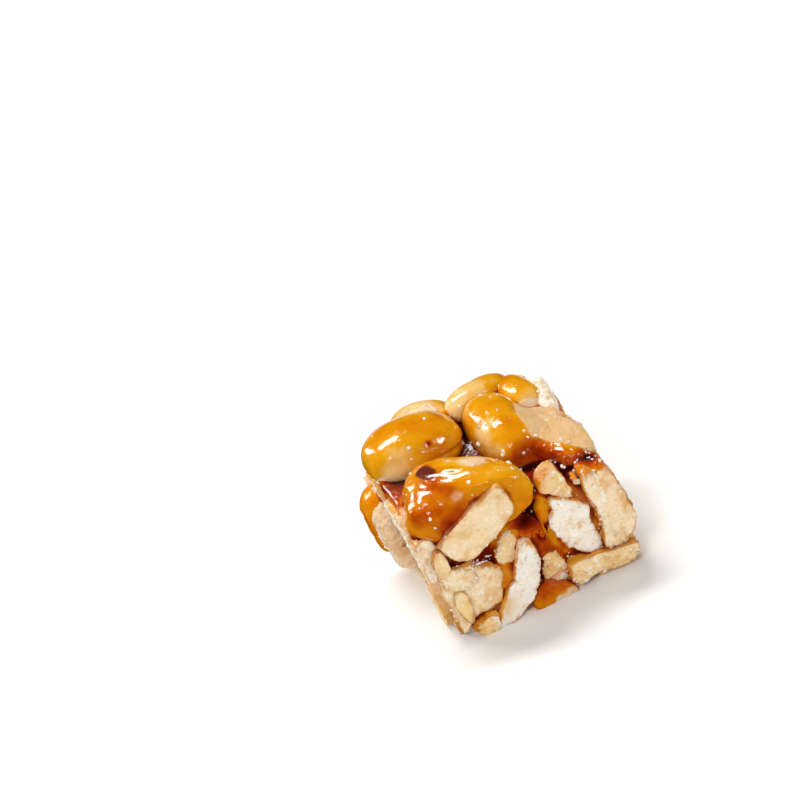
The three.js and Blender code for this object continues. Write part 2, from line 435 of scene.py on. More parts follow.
FRONT_KERNELS = (
    Kernel(
        "slanted_stick", "front", (-5.2, 15.5, 0.2), (10.5, 8.4, 6), proud=1.6, rough=0.5, pale=0.3,
        outline=(
            (-1.7, 19.9), (-3.9, 18.7), (-5.4, 18.4), (-9.1, 16.5), (-10.1, 15.6), (-10.7, 14.7),
            (-9.3, 12.4), (-8.1, 11.6), (-7.2, 11.5), (-6.4, 11.7), (-5.5, 12.3), (-3.5, 13.1),
            (-0.4, 15.4), (-0.2, 16.4), (-0.7, 19), (-1.1, 19.8),
        ),
    ),
    Kernel(
        "left_chip", "front", (-12.3, 13.4, -1), (3.3, 6.9, 6), proud=0.15, pale=0.7,
        outline=(
            (-13.7, 14.7), (-13.6, 13.3), (-13.2, 12.3), (-13.2, 9.9), (-13, 9.3), (-12.3, 9.5),
            (-11.8, 12.5), (-11.3, 13.3), (-10.6, 13.8), (-10.4, 14.7), (-11.7, 16), (-12.6, 16.2),
            (-13.3, 15.9),
        ),
    ),
    Kernel(
        "left_flake", "front", (-11.2, 11.8, -0.8), (1.9, 4.2, 5), proud=0.8, rough=0.4, pale=0.1,
        outline=(
            (-11.4, 14.1), (-11.9, 13.2), (-12.2, 11.8), (-12.1, 10.2), (-11.4, 10), (-10.8, 10.2),
            (-10.3, 11), (-10.4, 12.4), (-10.7, 13.9),
        ),
    ),
    Kernel(
        "low_block", "front", (-8.8, 6.0, -1), (8.2, 9.8, 7), proud=0.4, flare=0.7, rough=0.8, pale=0.45,
        outline=(
            (-12.1, 9.5), (-12.4, 8.3), (-11.9, 0.8), (-11.2, 0.7), (-10.6, 1.6), (-8.9, 2.6), (-6.6, 2.7),
            (-5.5, 3.1), (-4.9, 4.1), (-4.2, 6.4), (-4.4, 7.5), (-5.5, 8.5), (-7, 9), (-8.1, 9.9),
            (-9.4, 9.9), (-10.1, 10.5), (-10.9, 10.4),
        ),
    ),
    Kernel(
        "low_shelf", "front", (-9.8, 8.7, -0.6), (4.6, 4.2, 5), proud=0.65, flare=0.4, rough=0.9, pale=0.4,
        outline=(
            (-12.1, 9.1), (-11.8, 10.4), (-10.5, 10.8), (-9.1, 9.9), (-7.7, 9.2), (-7.5, 7.9), (-8.9, 7.1),
            (-10.1, 7), (-11.7, 7.9),
        ),
    ),
    Kernel(
        "low_tab", "front", (-10.5, 5.4, -0.2), (2, 4, 4), proud=1, flare=0.9,
        finish=BARE, rough=0.3, pale=0.1,
        outline=(
            (-11, 7.1), (-10.2, 7.2), (-9.5, 6.3), (-9.4, 4.8), (-9.6, 3.2), (-10, 2), (-10.7, 2.4),
            (-11.2, 4), (-11.4, 5.6),
        ),
    ),
    Kernel(
        "bottom_crumb", "front", (-8.3, 1.0, 0.2), (3.6, 2.8, 5), proud=0.9, flare=0.9, rough=1.3, pale=0,
        outline=(
            (-10.2, 0.6), (-8.3, -0.5), (-7.4, -0.1), (-6.7, 1), (-6.6, 2.1), (-7.3, 2.3), (-8.3, 2.3),
            (-10.1, 1.6),
        ),
    ),
    Kernel(
        "curved_slice", "front", (-2.6, 4.2, -0.4), (8.9, 10.7, 7), proud=0.6, flare=1.2, rough=1.3, pale=1,
        outline=(
            (-3.2, 4.9), (-4, 4.6), (-6.6, 1.7), (-8, -0.7), (-7, -0.7), (-4.6, -0.1), (-1.3, 2.1),
            (-0.5, 3.2), (0.9, 6.5), (0.9, 7.9), (0.6, 9.1), (-0.2, 10), (-1.2, 9.9),
        ),
    ),
    Kernel(
        "round_end", "front", (-2.6, 9.4, -1.6), (3.2, 4.7, 4.6), proud=-0.3, rough=0.5, pale=0.1,
        outline=(
            (-3.1, 11.4), (-4.2, 9.1), (-4.2, 7.9), (-3.6, 7.3), (-2.6, 7.2), (-1.8, 7.5), (-1, 10),
            (-1.2, 11.2), (-1.7, 11.8), (-2.4, 11.9),
        ),
    ),
    Kernel(
        "small_chip", "front", (2.3, 3.9, -1.4), (3.6, 5.0, 5), proud=-0.2, pale=0,
        outline=(
            (0.5, 3.6), (0.7, 2.6), (2.6, 1.4), (3.9, 2.2), (4.1, 2.9), (3.6, 5), (3.1, 6), (2.1, 6.4),
            (1.3, 6.1),
        ),
    ),
    Kernel(
        "dark_sliver", "front", (0.7, 10.6, -1.7), (5.0, 6.2, 3.8), proud=-0.5, finish=GLAZED, syrup=0.5,
        outline=(
            (-1.4, 12.8), (-1.8, 11.6), (-0.9, 10.4), (0.6, 8.9), (2.1, 7.4), (3, 7.6), (2.9, 9.4),
            (2, 11.6), (0.6, 13.2), (-0.6, 13.6),
        ),
    ),
    Kernel(
        "broken_flank", "front", (4.0, 9.4, -2), (4.6, 9.6, 4), proud=-0.4, finish=GLAZED, syrup=0.36,
        outline=(
            (3.6, 13.8), (4.5, 13.6), (4.7, 11.4), (4.3, 10.3), (4.4, 8.7), (4.6, 6.8), (5.2, 4.7),
            (4.1, 5.4), (3, 7.6), (2.6, 9.7), (2.7, 12.1),
        ),
    ),
    Kernel(
        "broken_kernel", "front", (6.4, 8.6, -1.2), (5.4, 10.9, 7), proud=0.4, rough=1.3, pale=1,
        outline=(
            (4.4, 11.9), (3.8, 10.8), (3.7, 9), (4.1, 7.4), (4.8, 6), (6.7, 4), (9.1, 3.2), (8.5, 8.9),
            (8.9, 10.8), (8.2, 11.2), (7.6, 12), (5.3, 13.7), (4.2, 14.1),
        ),
    ),
    Kernel(
        "top_chip", "front", (5.9, 15.2, -1.2), (4.0, 5.2, 5), rough=0.7, pale=0.1,
        outline=(
            (3.8, 15), (6.5, 12.9), (7.7, 12.3), (7.3, 12.9), (7.8, 13.5), (7.2, 15.1), (7, 16.5),
            (6.6, 17.5), (5.7, 17.5), (4.2, 16.7), (3.8, 15.6),
        ),
    ),
    Kernel(
        "right_half", "front", (11.5, 9.4, -0.2), (5.2, 12.3, 7), proud=1.2, pale=0.4,
        outline=(
            (9, 12.3), (9.7, 10.3), (9.7, 7), (9.1, 4.3), (9.6, 3.6), (12, 3.5), (12.9, 4.2), (13.8, 5.4),
            (14.2, 6.7), (14.1, 8.2), (13, 13.8), (12.4, 15.1), (11.2, 15.3), (10.1, 15.8), (9.2, 15.5),
        ),
    ),
    Kernel(
        "bottom_strip", "front", (8.1, 2.3, -0.2), (9.8, 3.4, 7), proud=1.2, flare=0.5, pale=0.15,
        outline=(
            (3.5, 2.3), (3.6, 1.1), (4.3, 0.7), (6.4, 1.3), (7.8, 1.2), (9, 0.9), (10.9, 0.7), (12.6, 1.2),
            (13.3, 2), (13.2, 3.1), (10, 3.3), (8.3, 3.8), (5.1, 4.1), (4.1, 4),
        ),
    ),
    Kernel(
        "bottom_flap", "front", (1.0, 1.0, -0.4), (6.2, 3.1, 6), proud=0.9, flare=0.7,
        finish=GLAZED, syrup=0.46,
        outline=(
            (-1.9, 1), (-1.9, 0), (0.5, -0.3), (3.2, -0.3), (4.3, -0.1), (3.8, 1), (2.9, 1.9), (0.6, 2.8),
            (-0.7, 2.3),
        ),
    ),
    Kernel(
        "white_bit", "front", (8.6, 14.6, -0.6), (1.0, 1.0, 3), proud=0.2, pale=1,
        outline=((8.1, 14.4), (8.8, 14), (9.1, 14.5), (8.7, 15), (8.2, 15)),
    ),
)

RIGHT_EXTRA = (
    Kernel("right_gap", "right", (-4.6, 8.2, -1.5), (6, 4.4, 5), 70, 3, pale=0.5),
    Kernel("right_chip", "right", (-4.2, 12.2, -1.2), (4, 3, 4), 20, 3, finish=BARE, pale=0.2),
)

LEFT_KERNELS = (
    Kernel("left_foot", "left", (7.6, 4, -1), (8, 5, 5), 60, proud=0.8, finish=BARE, pale=0.2),
    Kernel("left_pale", "left", (-4.5, 10, 0.3), (8, 6, 5), 70, proud=2.5, finish=BARE, pale=0.4),
    Kernel("left_shell", "left", (-7.5, 9.5, 0), (11, 8, 7), 70, proud=3, finish=GLAZED, syrup=0.42),
    Kernel("left_shelf", "left", (-4, 6, 0), (6, 4.5, 4), 0, proud=2.5, finish=BARE),
    Kernel("left_low", "left", (-1, 3, -2), (9, 5, 6), 10, 3),
    Kernel("left_middle", "left", (2.4, 9.6, -1.2), (8, 5, 6), 75, 3),
    Kernel("left_high", "left", (2.2, 14.6, -1.3), (9, 5, 6), 12, 3, pale=0.6),
    Kernel("left_back", "left", (-5.6, 15.4, -1.3), (6, 4, 5), -12, 3, pale=0.2),
    Kernel("left_front", "left", (8.3, 12.2, -1.4), (6, 4.4, 5), 80, 3, pale=0.4),
    Kernel("left_corner", "left", (7.2, 16.6, -1.5), (5, 3.6, 5), -20, 3, finish=BARE, pale=0.3),
)


@dataclass(frozen=True)
class RuleKernels:
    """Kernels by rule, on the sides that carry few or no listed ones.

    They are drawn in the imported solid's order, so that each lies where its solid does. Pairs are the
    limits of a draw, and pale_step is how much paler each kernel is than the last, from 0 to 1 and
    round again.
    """

    cell: float = 7.0
    jitter: float = 1.2
    long: Pair = (8.5, 12.5)
    wide: Pair = (6.0, 8.0)
    deep: Pair = (5.5, 7.0)
    square: Pair = (2.4, 4.5)
    skew: Pair = (-0.3, 0.3)
    sink: Pair = (-1.4, -0.8)
    proud: Pair = (-0.1, 0.6)
    edge_margin: float = 0.5
    pale_step: float = 0.37
    seed: int = 759

    def sides(self) -> dict[str, list[Kernel]]:
        """Return the kernels of the right side, the back and the underside."""
        stream = RandomStream(self.seed)
        return {
            "right": self.on("right", BLOCK.depth, BLOCK.right_height, stream),
            "back": self.on("back", BLOCK.width, BLOCK.middle_height, stream),
            "bottom": self.on("bottom", BLOCK.width, BLOCK.depth, stream),
        }

    def on(self, side: str, length: float, height: float, stream: RandomStream) -> list[Kernel]:
        """Fill one side with a jittered grid of kernels.

        Args:
            side: The side's name.
            length: How far the side runs across.
            height: How far it runs up.
            stream: Where the random numbers come from.

        Returns:
            The side's kernels, row by row.
        """
        columns = round(length / self.cell)
        rows = round(height / self.cell)
        start = -height / 2 if side == "bottom" else 0.0
        made = []
        for row, column in np.ndindex(rows, columns):
            across = ((column + 0.5) / columns - 0.5) * (length - 2 * self.edge_margin)
            up = start + (row + 0.5) / rows * height
            place = (
                across + self.jitter * (2 * stream.draw() - 1),
                up + self.jitter * (2 * stream.draw() - 1),
                stream.between(self.sink),
            )
            size = (stream.between(self.long), stream.between(self.wide), stream.between(self.deep))
            turn = 180 * stream.draw()
            shape = (stream.between(self.square), stream.between(self.skew), 0.0, stream.between(self.proud))
            pale = (row * columns + column) * self.pale_step % 1
            made.append(Kernel(f"{side}_{row}_{column}", side, place, size, turn, *shape, pale=pale))
        return made


# ---------------------------------------------------------------------------------------------
# Meshes


@dataclass
class Shell:
    """A closed mesh in the block's frame, in millimetres, with numbers for each of its points."""

    points: Array
    faces: Array
    numbers: dict[str, Array] = field(default_factory=dict)

    @staticmethod
    def joined(shells: list["Shell"]) -> "Shell":
        """Put several shells together as one.

        Args:
            shells: The shells, which carry the same numbers.

        Returns:
            The one shell.
        """
        starts = np.cumsum([0] + [len(shell.points) for shell in shells[:-1]])
        return Shell(
            np.concatenate([shell.points for shell in shells]),
            np.concatenate([shell.faces + start for shell, start in zip(shells, starts)]),
            {key: np.concatenate([shell.numbers[key] for shell in shells]) for key in shells[0].numbers},
        )

    def triangles(self) -> Array:
        """Return the faces' corners, with each quad split in two."""
        if self.faces.shape[1] == 3:
            return self.faces
        return np.concatenate([self.faces[:, [0, 1, 2]], self.faces[:, [0, 2, 3]]])

    def normals(self) -> Array:
        """Return each point's outward direction."""
        corners = self.points[self.faces]
        across = np.cross(corners[:, 1] - corners[:, 0], corners[:, 2] - corners[:, 0])
        total = np.zeros_like(self.points)
        for k in range(self.faces.shape[1]):
            np.add.at(total, self.faces[:, k], across)
        return total / np.maximum(np.linalg.norm(total, axis=1, keepdims=True), 1e-12)

    def to_object(self, name: str, material: bpy.types.Material) -> bpy.types.Object:
        """Make the shell a Blender object in the part's frame.

        Args:
            name: The piece's name.
            material: Its material.

        Returns:
            The new object, linked to the scene.
        """
        mesh = bpy.data.meshes.new(name)
        count, corners = self.faces.shape
        mesh.vertices.add(len(self.points))
        mesh.vertices.foreach_set("co", BLOCK.to_part(self.points).ravel())
        mesh.loops.add(count * corners)
        mesh.loops.foreach_set("vertex_index", self.faces.ravel())
        mesh.polygons.add(count)
        mesh.polygons.foreach_set("loop_start", np.arange(count) * corners)
        mesh.polygons.foreach_set("use_smooth", np.ones(count, dtype=bool))
        for key, values in self.numbers.items():
            layer = mesh.attributes.new(key, "FLOAT", "POINT")
            layer.data.foreach_set("value", values.astype(np.float32))
        mesh.update(calc_edges=True)
        mesh.validate()
        mesh.materials.append(material)
        made = bpy.data.objects.new(name, mesh)
        bpy.context.scene.collection.objects.link(made)
        return made


@dataclass
class KernelCarver:
    """Carves kernels out of balls of directions, trims them with the knife and roughens the cut.

    The rows of lumps are a pitch in millimetres and a share of the reach; those of jags, relief and
    wrinkles are a pitch and a height in millimetres. Cracks open where one noise is within crack_edge
    of its middle and another within crack_spell.
    """

    seed: int = 4
    lumps: tuple[Pair, ...] = ((5.5, 0.045), (2.2, 0.016))
    jags: tuple[Pair, ...] = ((1.3, 0.2), (0.6, 0.16), (0.3, 0.1))
    relief: tuple[Pair, ...] = ((3.2, 0.18), (1.2, 0.12), (0.6, 0.11), (0.3, 0.07))
    most_jagged: float = 1.2
    crack_pitch: float = 2.4
    crack_depth: float = 0.6
    crack_edge: Pair = (0.88, 1.0)
    crack_spell: Pair = (0.1, 0.6)
    soft_edge: float = 0.1
    cut_blur: float = 0.1
    rim_width: float = 0.17
    foot_height: float = 6.0
    no_cut: float = 1e3
    least_rise: float = 1e-3
    least_arm: float = 0.2
    fuse_step: float = 0.16
    fuse_margin: float = 1.0
    wrinkles: tuple[Pair, ...] = ((1.5, 0.14), (0.7, 0.09))
    wrinkle_stretch: float = 3.0

    def __post_init__(self) -> None:
        """Make the noises and an empty store of balls."""
        self.form_noise = Noise(self.seed)
        self.cut_noise = Noise(self.seed + 1)
        self.tones = np.random.default_rng(self.seed + 2)
        self.balls: dict[int, tuple[Array, Array]] = {}

    def ball(self, level: int) -> tuple[Array, Array]:
        """Return an icosphere's directions and faces.

        Args:
            level: Blender's number of subdivisions.

        Returns:
            The directions, one a row, and the faces' corners.
        """
        if level not in self.balls:
            work = bmesh.new()
            bmesh.ops.create_icosphere(work, subdivisions=level, radius=1)
            directions = np.array([vert.co[:] for vert in work.verts])
            faces = np.array([[vert.index for vert in face.verts] for face in work.faces])
            work.free()
            self.balls[level] = directions, faces
        return self.balls[level]

    def carve(self, kernel: Kernel, level: int) -> Shell:
        """Make one kernel.

        Args:
            kernel: What to carve.
            level: How fine its ball is.

        Returns:
            Its closed mesh, with the numbers cut, rim, pale, tone, coated, syrup and relief.
        """
        ball, faces = self.ball(level)
        directions = kernel.spread(ball)
        middle = kernel.middle()
        form = kernel.skin(directions, np.zeros(len(directions))) + middle * FORM_SPREAD
        lumps = sum(height * self.form_noise(form, pitch) for pitch, height in self.lumps)
        arms = kernel.skin(directions, lumps)
        reach = np.linalg.norm(arms, axis=1)
        if kernel.finish is not GLAZED:
            jags = sum(height * self.cut_noise(middle + arms, pitch) for pitch, height in self.jags)
            jags *= min(kernel.rough, self.most_jagged)
            arms *= (1 + jags / reach)[:, None]
            reach = np.linalg.norm(arms, axis=1)
        length, depth = self.to_knife(kernel, middle, arms, reach)
        excess = reach - length
        trimmed = smooth_min(reach, length, self.soft_edge)
        dry = 0.0 if kernel.finish is GLAZED else 1.0
        every = np.ones(len(directions))
        return Shell(
            middle + arms * (trimmed / reach)[:, None],
            faces,
            {
                "cut": smooth_step(-self.cut_blur / 2, self.cut_blur, excess) * dry,
                "rim": np.exp(-np.abs(excess) / self.rim_width) * dry,
                "pale": every * kernel.pale,
                "tone": every * self.tones.uniform(),
                "coated": every * COATED[kernel.finish],
                "syrup": every * kernel.syrup,
                "relief": depth,
            },
        )

    def roughness(self, places: Array, rough: float) -> Array:
        """Return the height of the broken flesh over its plane, with its cracks.

        Args:
            places: Where, in the block's frame.
            rough: Scales the height; only above 1 does the flesh crack.

        Returns:
            Millimetres.
        """
        depth = sum(high * self.cut_noise(places, pitch) for pitch, high in self.relief)
        crack = smooth_step(*self.crack_edge, 1 - np.abs(self.form_noise(places, self.crack_pitch)))
        opened = smooth_step(*self.crack_spell, self.cut_noise(places + CRACK_SHIFT, self.crack_pitch))
        return rough * depth - max(rough - 1, 0) * self.crack_depth * crack * opened

    def to_knife(self, kernel: Kernel, middle: Array, arms: Array, reach: Array) -> tuple[Array, Array]:
        """Return how far along each arm the knife or the floor lies.

        Args:
            kernel: The kernel, for its proud, flare and rough.
            middle: The kernel's middle.
            arms: The skin's points from the middle.
            reach: The arms' lengths.

        Returns:
            Lengths, far beyond the skin where an arm meets no cut, and the relief there.
        """
        length = np.full(len(arms), self.no_cut)
        relief = np.zeros(len(arms))
        for side in (*CUT_SIDES, "bottom"):
            flat = side == "bottom"
            proud = 0.0 if flat else kernel.proud
            start = BLOCK.beyond(side, middle)
            rise = (BLOCK.beyond(side, middle + arms) - start) / reach
            meets = rise > self.least_rise
            steep = np.where(meets, rise, 1)
            along = np.where(meets, (proud - start) / steep, self.no_cut)
            for _ in range(2):
                place = middle + arms * (np.minimum(along, 1.5 * reach) / reach)[:, None]
                depth = self.roughness(place, kernel.rough)
                leant = proud + kernel.flare * np.clip(1 - place[:, 2] / self.foot_height, 0, 1)
                level = np.minimum(depth, 0) if flat else leant + depth
                along = np.where(meets, (level - start) / steep, self.no_cut)
            along = np.maximum(along, self.least_arm)
            relief = np.where(along < length, depth, relief)
            length = np.minimum(length, along)
        return length, relief

    def fuse(self, kernels: tuple[Kernel, ...], level: int, blend: float, wrinkled: float) -> Shell:
        """Grow two kernels together under one skin of caramel.

        Args:
            kernels: What to carve and join.
            level: How fine their balls are.
            blend: How wide their meeting is rounded, in millimetres.
            wrinkled: Scales the wrinkles of the skin.

        Returns:
            One closed mesh, with the first kernel's numbers.
        """
        parts = [self.carve(kernel, level) for kernel in kernels]
        every = Shell.joined(parts)
        step = self.fuse_step * 1
        margin = blend + self.fuse_margin
        lattice = Lattice(every.points.min(axis=0) - margin, every.points.max(axis=0) + margin, step)
        fields = [lattice.distances(part, blend) for part in parts]
        shell = lattice.surface(smooth_min(*fields, blend))
        drawn = shell.points @ kernels[0].axes() / np.array([self.wrinkle_stretch, 1, 1])
        heights = sum(high * self.form_noise(drawn, pitch) for pitch, high in self.wrinkles)
        shell.points += shell.normals() * (wrinkled * heights)[:, None]
        shell.faces = shell.triangles()
        ones = np.ones(len(shell.points))
        shell.numbers = {key: ones * values[0] for key, values in parts[0].numbers.items()}
        shell.numbers |= {"cut": 0 * ones, "rim": 0 * ones, "relief": 0 * ones, "coated": ones}
        return shell


@dataclass(frozen=True)
class Crumbs:
    """Broken bits of kernel that the knife left in the gaps of the cut sides.

    up, sink and size are the limits of draws. A bit is kept whose middle lies within clear of the
    nearest kernel, apart from the other bits, under_top below the block's top, and where the caramel
    isn't dented past deep.
    """

    tries: int = 700
    up: Pair = (0.6, 17.0)
    under_top: float = 1.2
    square: float = 3.0
    apart: float = 2.1
    clear: Pair = (0.3, 1.4)
    sink: Pair = (-1.5, -0.7)
    size: Pair = (0.9, 2.4)
    deep: float = 0.3
    bare_share: float = 0.6
    level: int = 4
    seed: int = 5

    def kernels(self, side: str, near: Array, caramel: "CaramelMatrix") -> list[Kernel]:
        """Return the bits for one side.

        Args:
            side: A cut side's name.
            near: How far each of the caramel's places lies from the nearest kernel.
            caramel: The caramel, not yet poured.

        Returns:
            Small kernels, none of them within a kernel or too close to one another.
        """
        draw = np.random.default_rng([self.seed, CUT_SIDES.index(side)])
        wide = BLOCK.depth if side in ("left", "right") else BLOCK.width
        made: list[Kernel] = []
        middles: list[Array] = []
        for number in range(self.tries):
            low, high = [-wide / 2, self.up[0], 0, 0], [wide / 2, self.up[1], 1, 180]
            across, up, share, turn = draw.uniform(low, high)
            sizes = draw.uniform(*self.size, 3)
            place = (across, up, self.sink[0] + share * (self.sink[1] - self.sink[0]))
            middle = BLOCK.side(side).place(*place)
            away = caramel.lattice.sample(near, middle[None])[0]
            inside = middle[2] < BLOCK.top_height(middle) - self.under_top
            inside = inside and caramel.dented(side, middle) < self.deep
            crowded = any(np.linalg.norm(middle - other) < self.apart for other in middles)
            if inside and not crowded and self.clear[0] < away < self.clear[1]:
                middles.append(middle)
                pale = draw.uniform(0, 1)
                finish = BARE if draw.uniform() < self.bare_share else CUT
                form = (side, place, tuple(sizes), turn, self.square)
                made.append(Kernel(f"bit_{number}", *form, finish=finish, pale=pale))
        return made


# ---------------------------------------------------------------------------------------------
# Caramel


@dataclass(frozen=True)
class Dent:
    """A place where the caramel lies deeper than elsewhere, or less deep where depth is below 0."""

    side: str
    across: float
    up: float
    radius: float
    depth: float


DENTS = (
    Dent("front", -5.2, 9.9, 1.2, 1.8),
    Dent("front", -6.6, 10.6, 1.0, 1.0),
    Dent("front", 1.4, 12.4, 1.7, 2.2),
    Dent("front", 2.6, 12.8, 1.0, 1.6),
    Dent("front", 3.3, 8.4, 1.0, 1.2),
    Dent("front", -10.4, 15.4, 1.2, 1.6),
    Dent("front", -11.6, 14.6, 0.9, 0.8),
    Dent("front", 2.9, 1.6, 0.7, 1.2),
    Dent("front", -10.8, 0.4, 0.6, 1.4),
    Dent("front", -4.0, 5.0, 1.5, -0.7),
    Dent("front", 8.4, 11.5, 1.6, -0.6),
    Dent("front", 8.6, 7.0, 1.6, -0.6),
    Dent("right", -2.2, 8.6, 1.2, 1.2),
    Dent("right", -6.4, 10.6, 1.0, 1.0),
    Dent("right", -5.0, 4.6, 1.2, 0.9),
    Dent("right", 4.2, 7.4, 1.6, 1.0),
    Dent("right", 6.0, 13.6, 1.2, 0.8),
    Dent("top", -6.5, 2.2, 2.0, 1.0),
    Dent("top", -1.0, 1.5, 2.0, 1.2),
    Dent("top", -0.4, -2.6, 1.2, 1.2),
    Dent("top", 7.2, -6.8, 2.0, -1.5),
    Dent("top", 10.8, -7.6, 2.0, -1.3),
)


class Lattice:
    """A box of evenly spaced places, and fields known at each of them."""

    def __init__(self, low: Vec3 | Array, high: Vec3 | Array, step: float) -> None:
        """Lay out the places.

        Args:
            low: The lowest corner, in millimetres.
            high: The highest corner.
            step: The distance between places.
        """
        self.low = np.array(low)
        self.step = step
        self.shape = tuple(int(n) for n in np.ceil((np.array(high) - self.low) / step) + 1)

    def places(self) -> Array:
        """Return every place, as an array of the lattice's shape with x, y and z last."""
        axes = [start + self.step * np.arange(count) for start, count in zip(self.low, self.shape)]
        return np.stack(np.meshgrid(*axes, indexing="ij"), axis=-1)

    def distances(self, shell: Shell, reach: float) -> Array:
        """Return how far each place lies outside a shell.

        Args:
            shell: A closed mesh of triangles, or several that overlap.
            reach: The most that is measured, in millimetres.

        Returns:
            Millimetres, below 0 inside.
        """
        grid = openvdb.FloatGrid.createLevelSetFromPolygons(
            points=np.ascontiguousarray((shell.points - self.low) / self.step, dtype=np.float32),
            triangles=np.ascontiguousarray(shell.faces, dtype=np.uint32),
            halfWidth=reach / self.step,
        )
        values = np.empty(self.shape, dtype=np.float32)
        grid.copyToArray(values)
        return values.astype(float) * self.step

    def surface(self, values: Array) -> Shell:
        """Mesh the surface where a field is 0, facing towards higher values.

        Args:
            values: The field.

        Returns:
            The mesh, of quads.
        """
        grid = openvdb.FloatGrid(float(values.max()))
        grid.copyFromArray(np.ascontiguousarray(values, dtype=np.float32))
        points, quads = grid.convertToQuads(isovalue=0.0)
        shell = Shell(points.astype(float) * self.step + self.low, quads.astype(np.int64))
        corners = shell.points[shell.faces]
        across = np.cross(corners[:, 2] - corners[:, 0], corners[:, 3] - corners[:, 1])
        if (across * (corners.mean(axis=1) - shell.points.mean(axis=0))).sum() < 0:
            shell.faces = shell.faces[:, ::-1].copy()
        return shell

    def sample(self, values: Array, points: Array) -> Array:
        """Return a field's values between the places.

        Args:
            values: The field.
            points: Where to read it, one a row, in millimetres.

        Returns:
            One number for each point.
        """
        scaled = (points - self.low) / self.step
        scaled = np.clip(scaled, 0, np.array(self.shape) - 1.001)
        cell = scaled.astype(np.int64)
        part = scaled - cell
        total = np.zeros(len(points))
        for corner in np.ndindex(2, 2, 2):
            share = np.prod(np.where(corner, part, 1 - part), axis=1)
            total += values[tuple((cell + corner).T)] * share
        return total

    def blurred(self, values: Array, reach: float) -> Array:
        """Blur a field by a running mean along each axis.

        Args:
            values: The field.
            reach: How far the mean goes either way, in millimetres.

        Returns:
            The blurred field.
        """
        cells = max(round(reach / self.step), 1)
        span = 2 * cells + 1
        for axis in range(3):
            lines = np.moveaxis(values, axis, 0)
            total = np.cumsum(np.pad(lines, ((cells + 1, cells), (0, 0), (0, 0)), mode="edge"), axis=0)
            values = np.moveaxis((total[span:] - total[:-span]) / span, 0, axis)
        return values


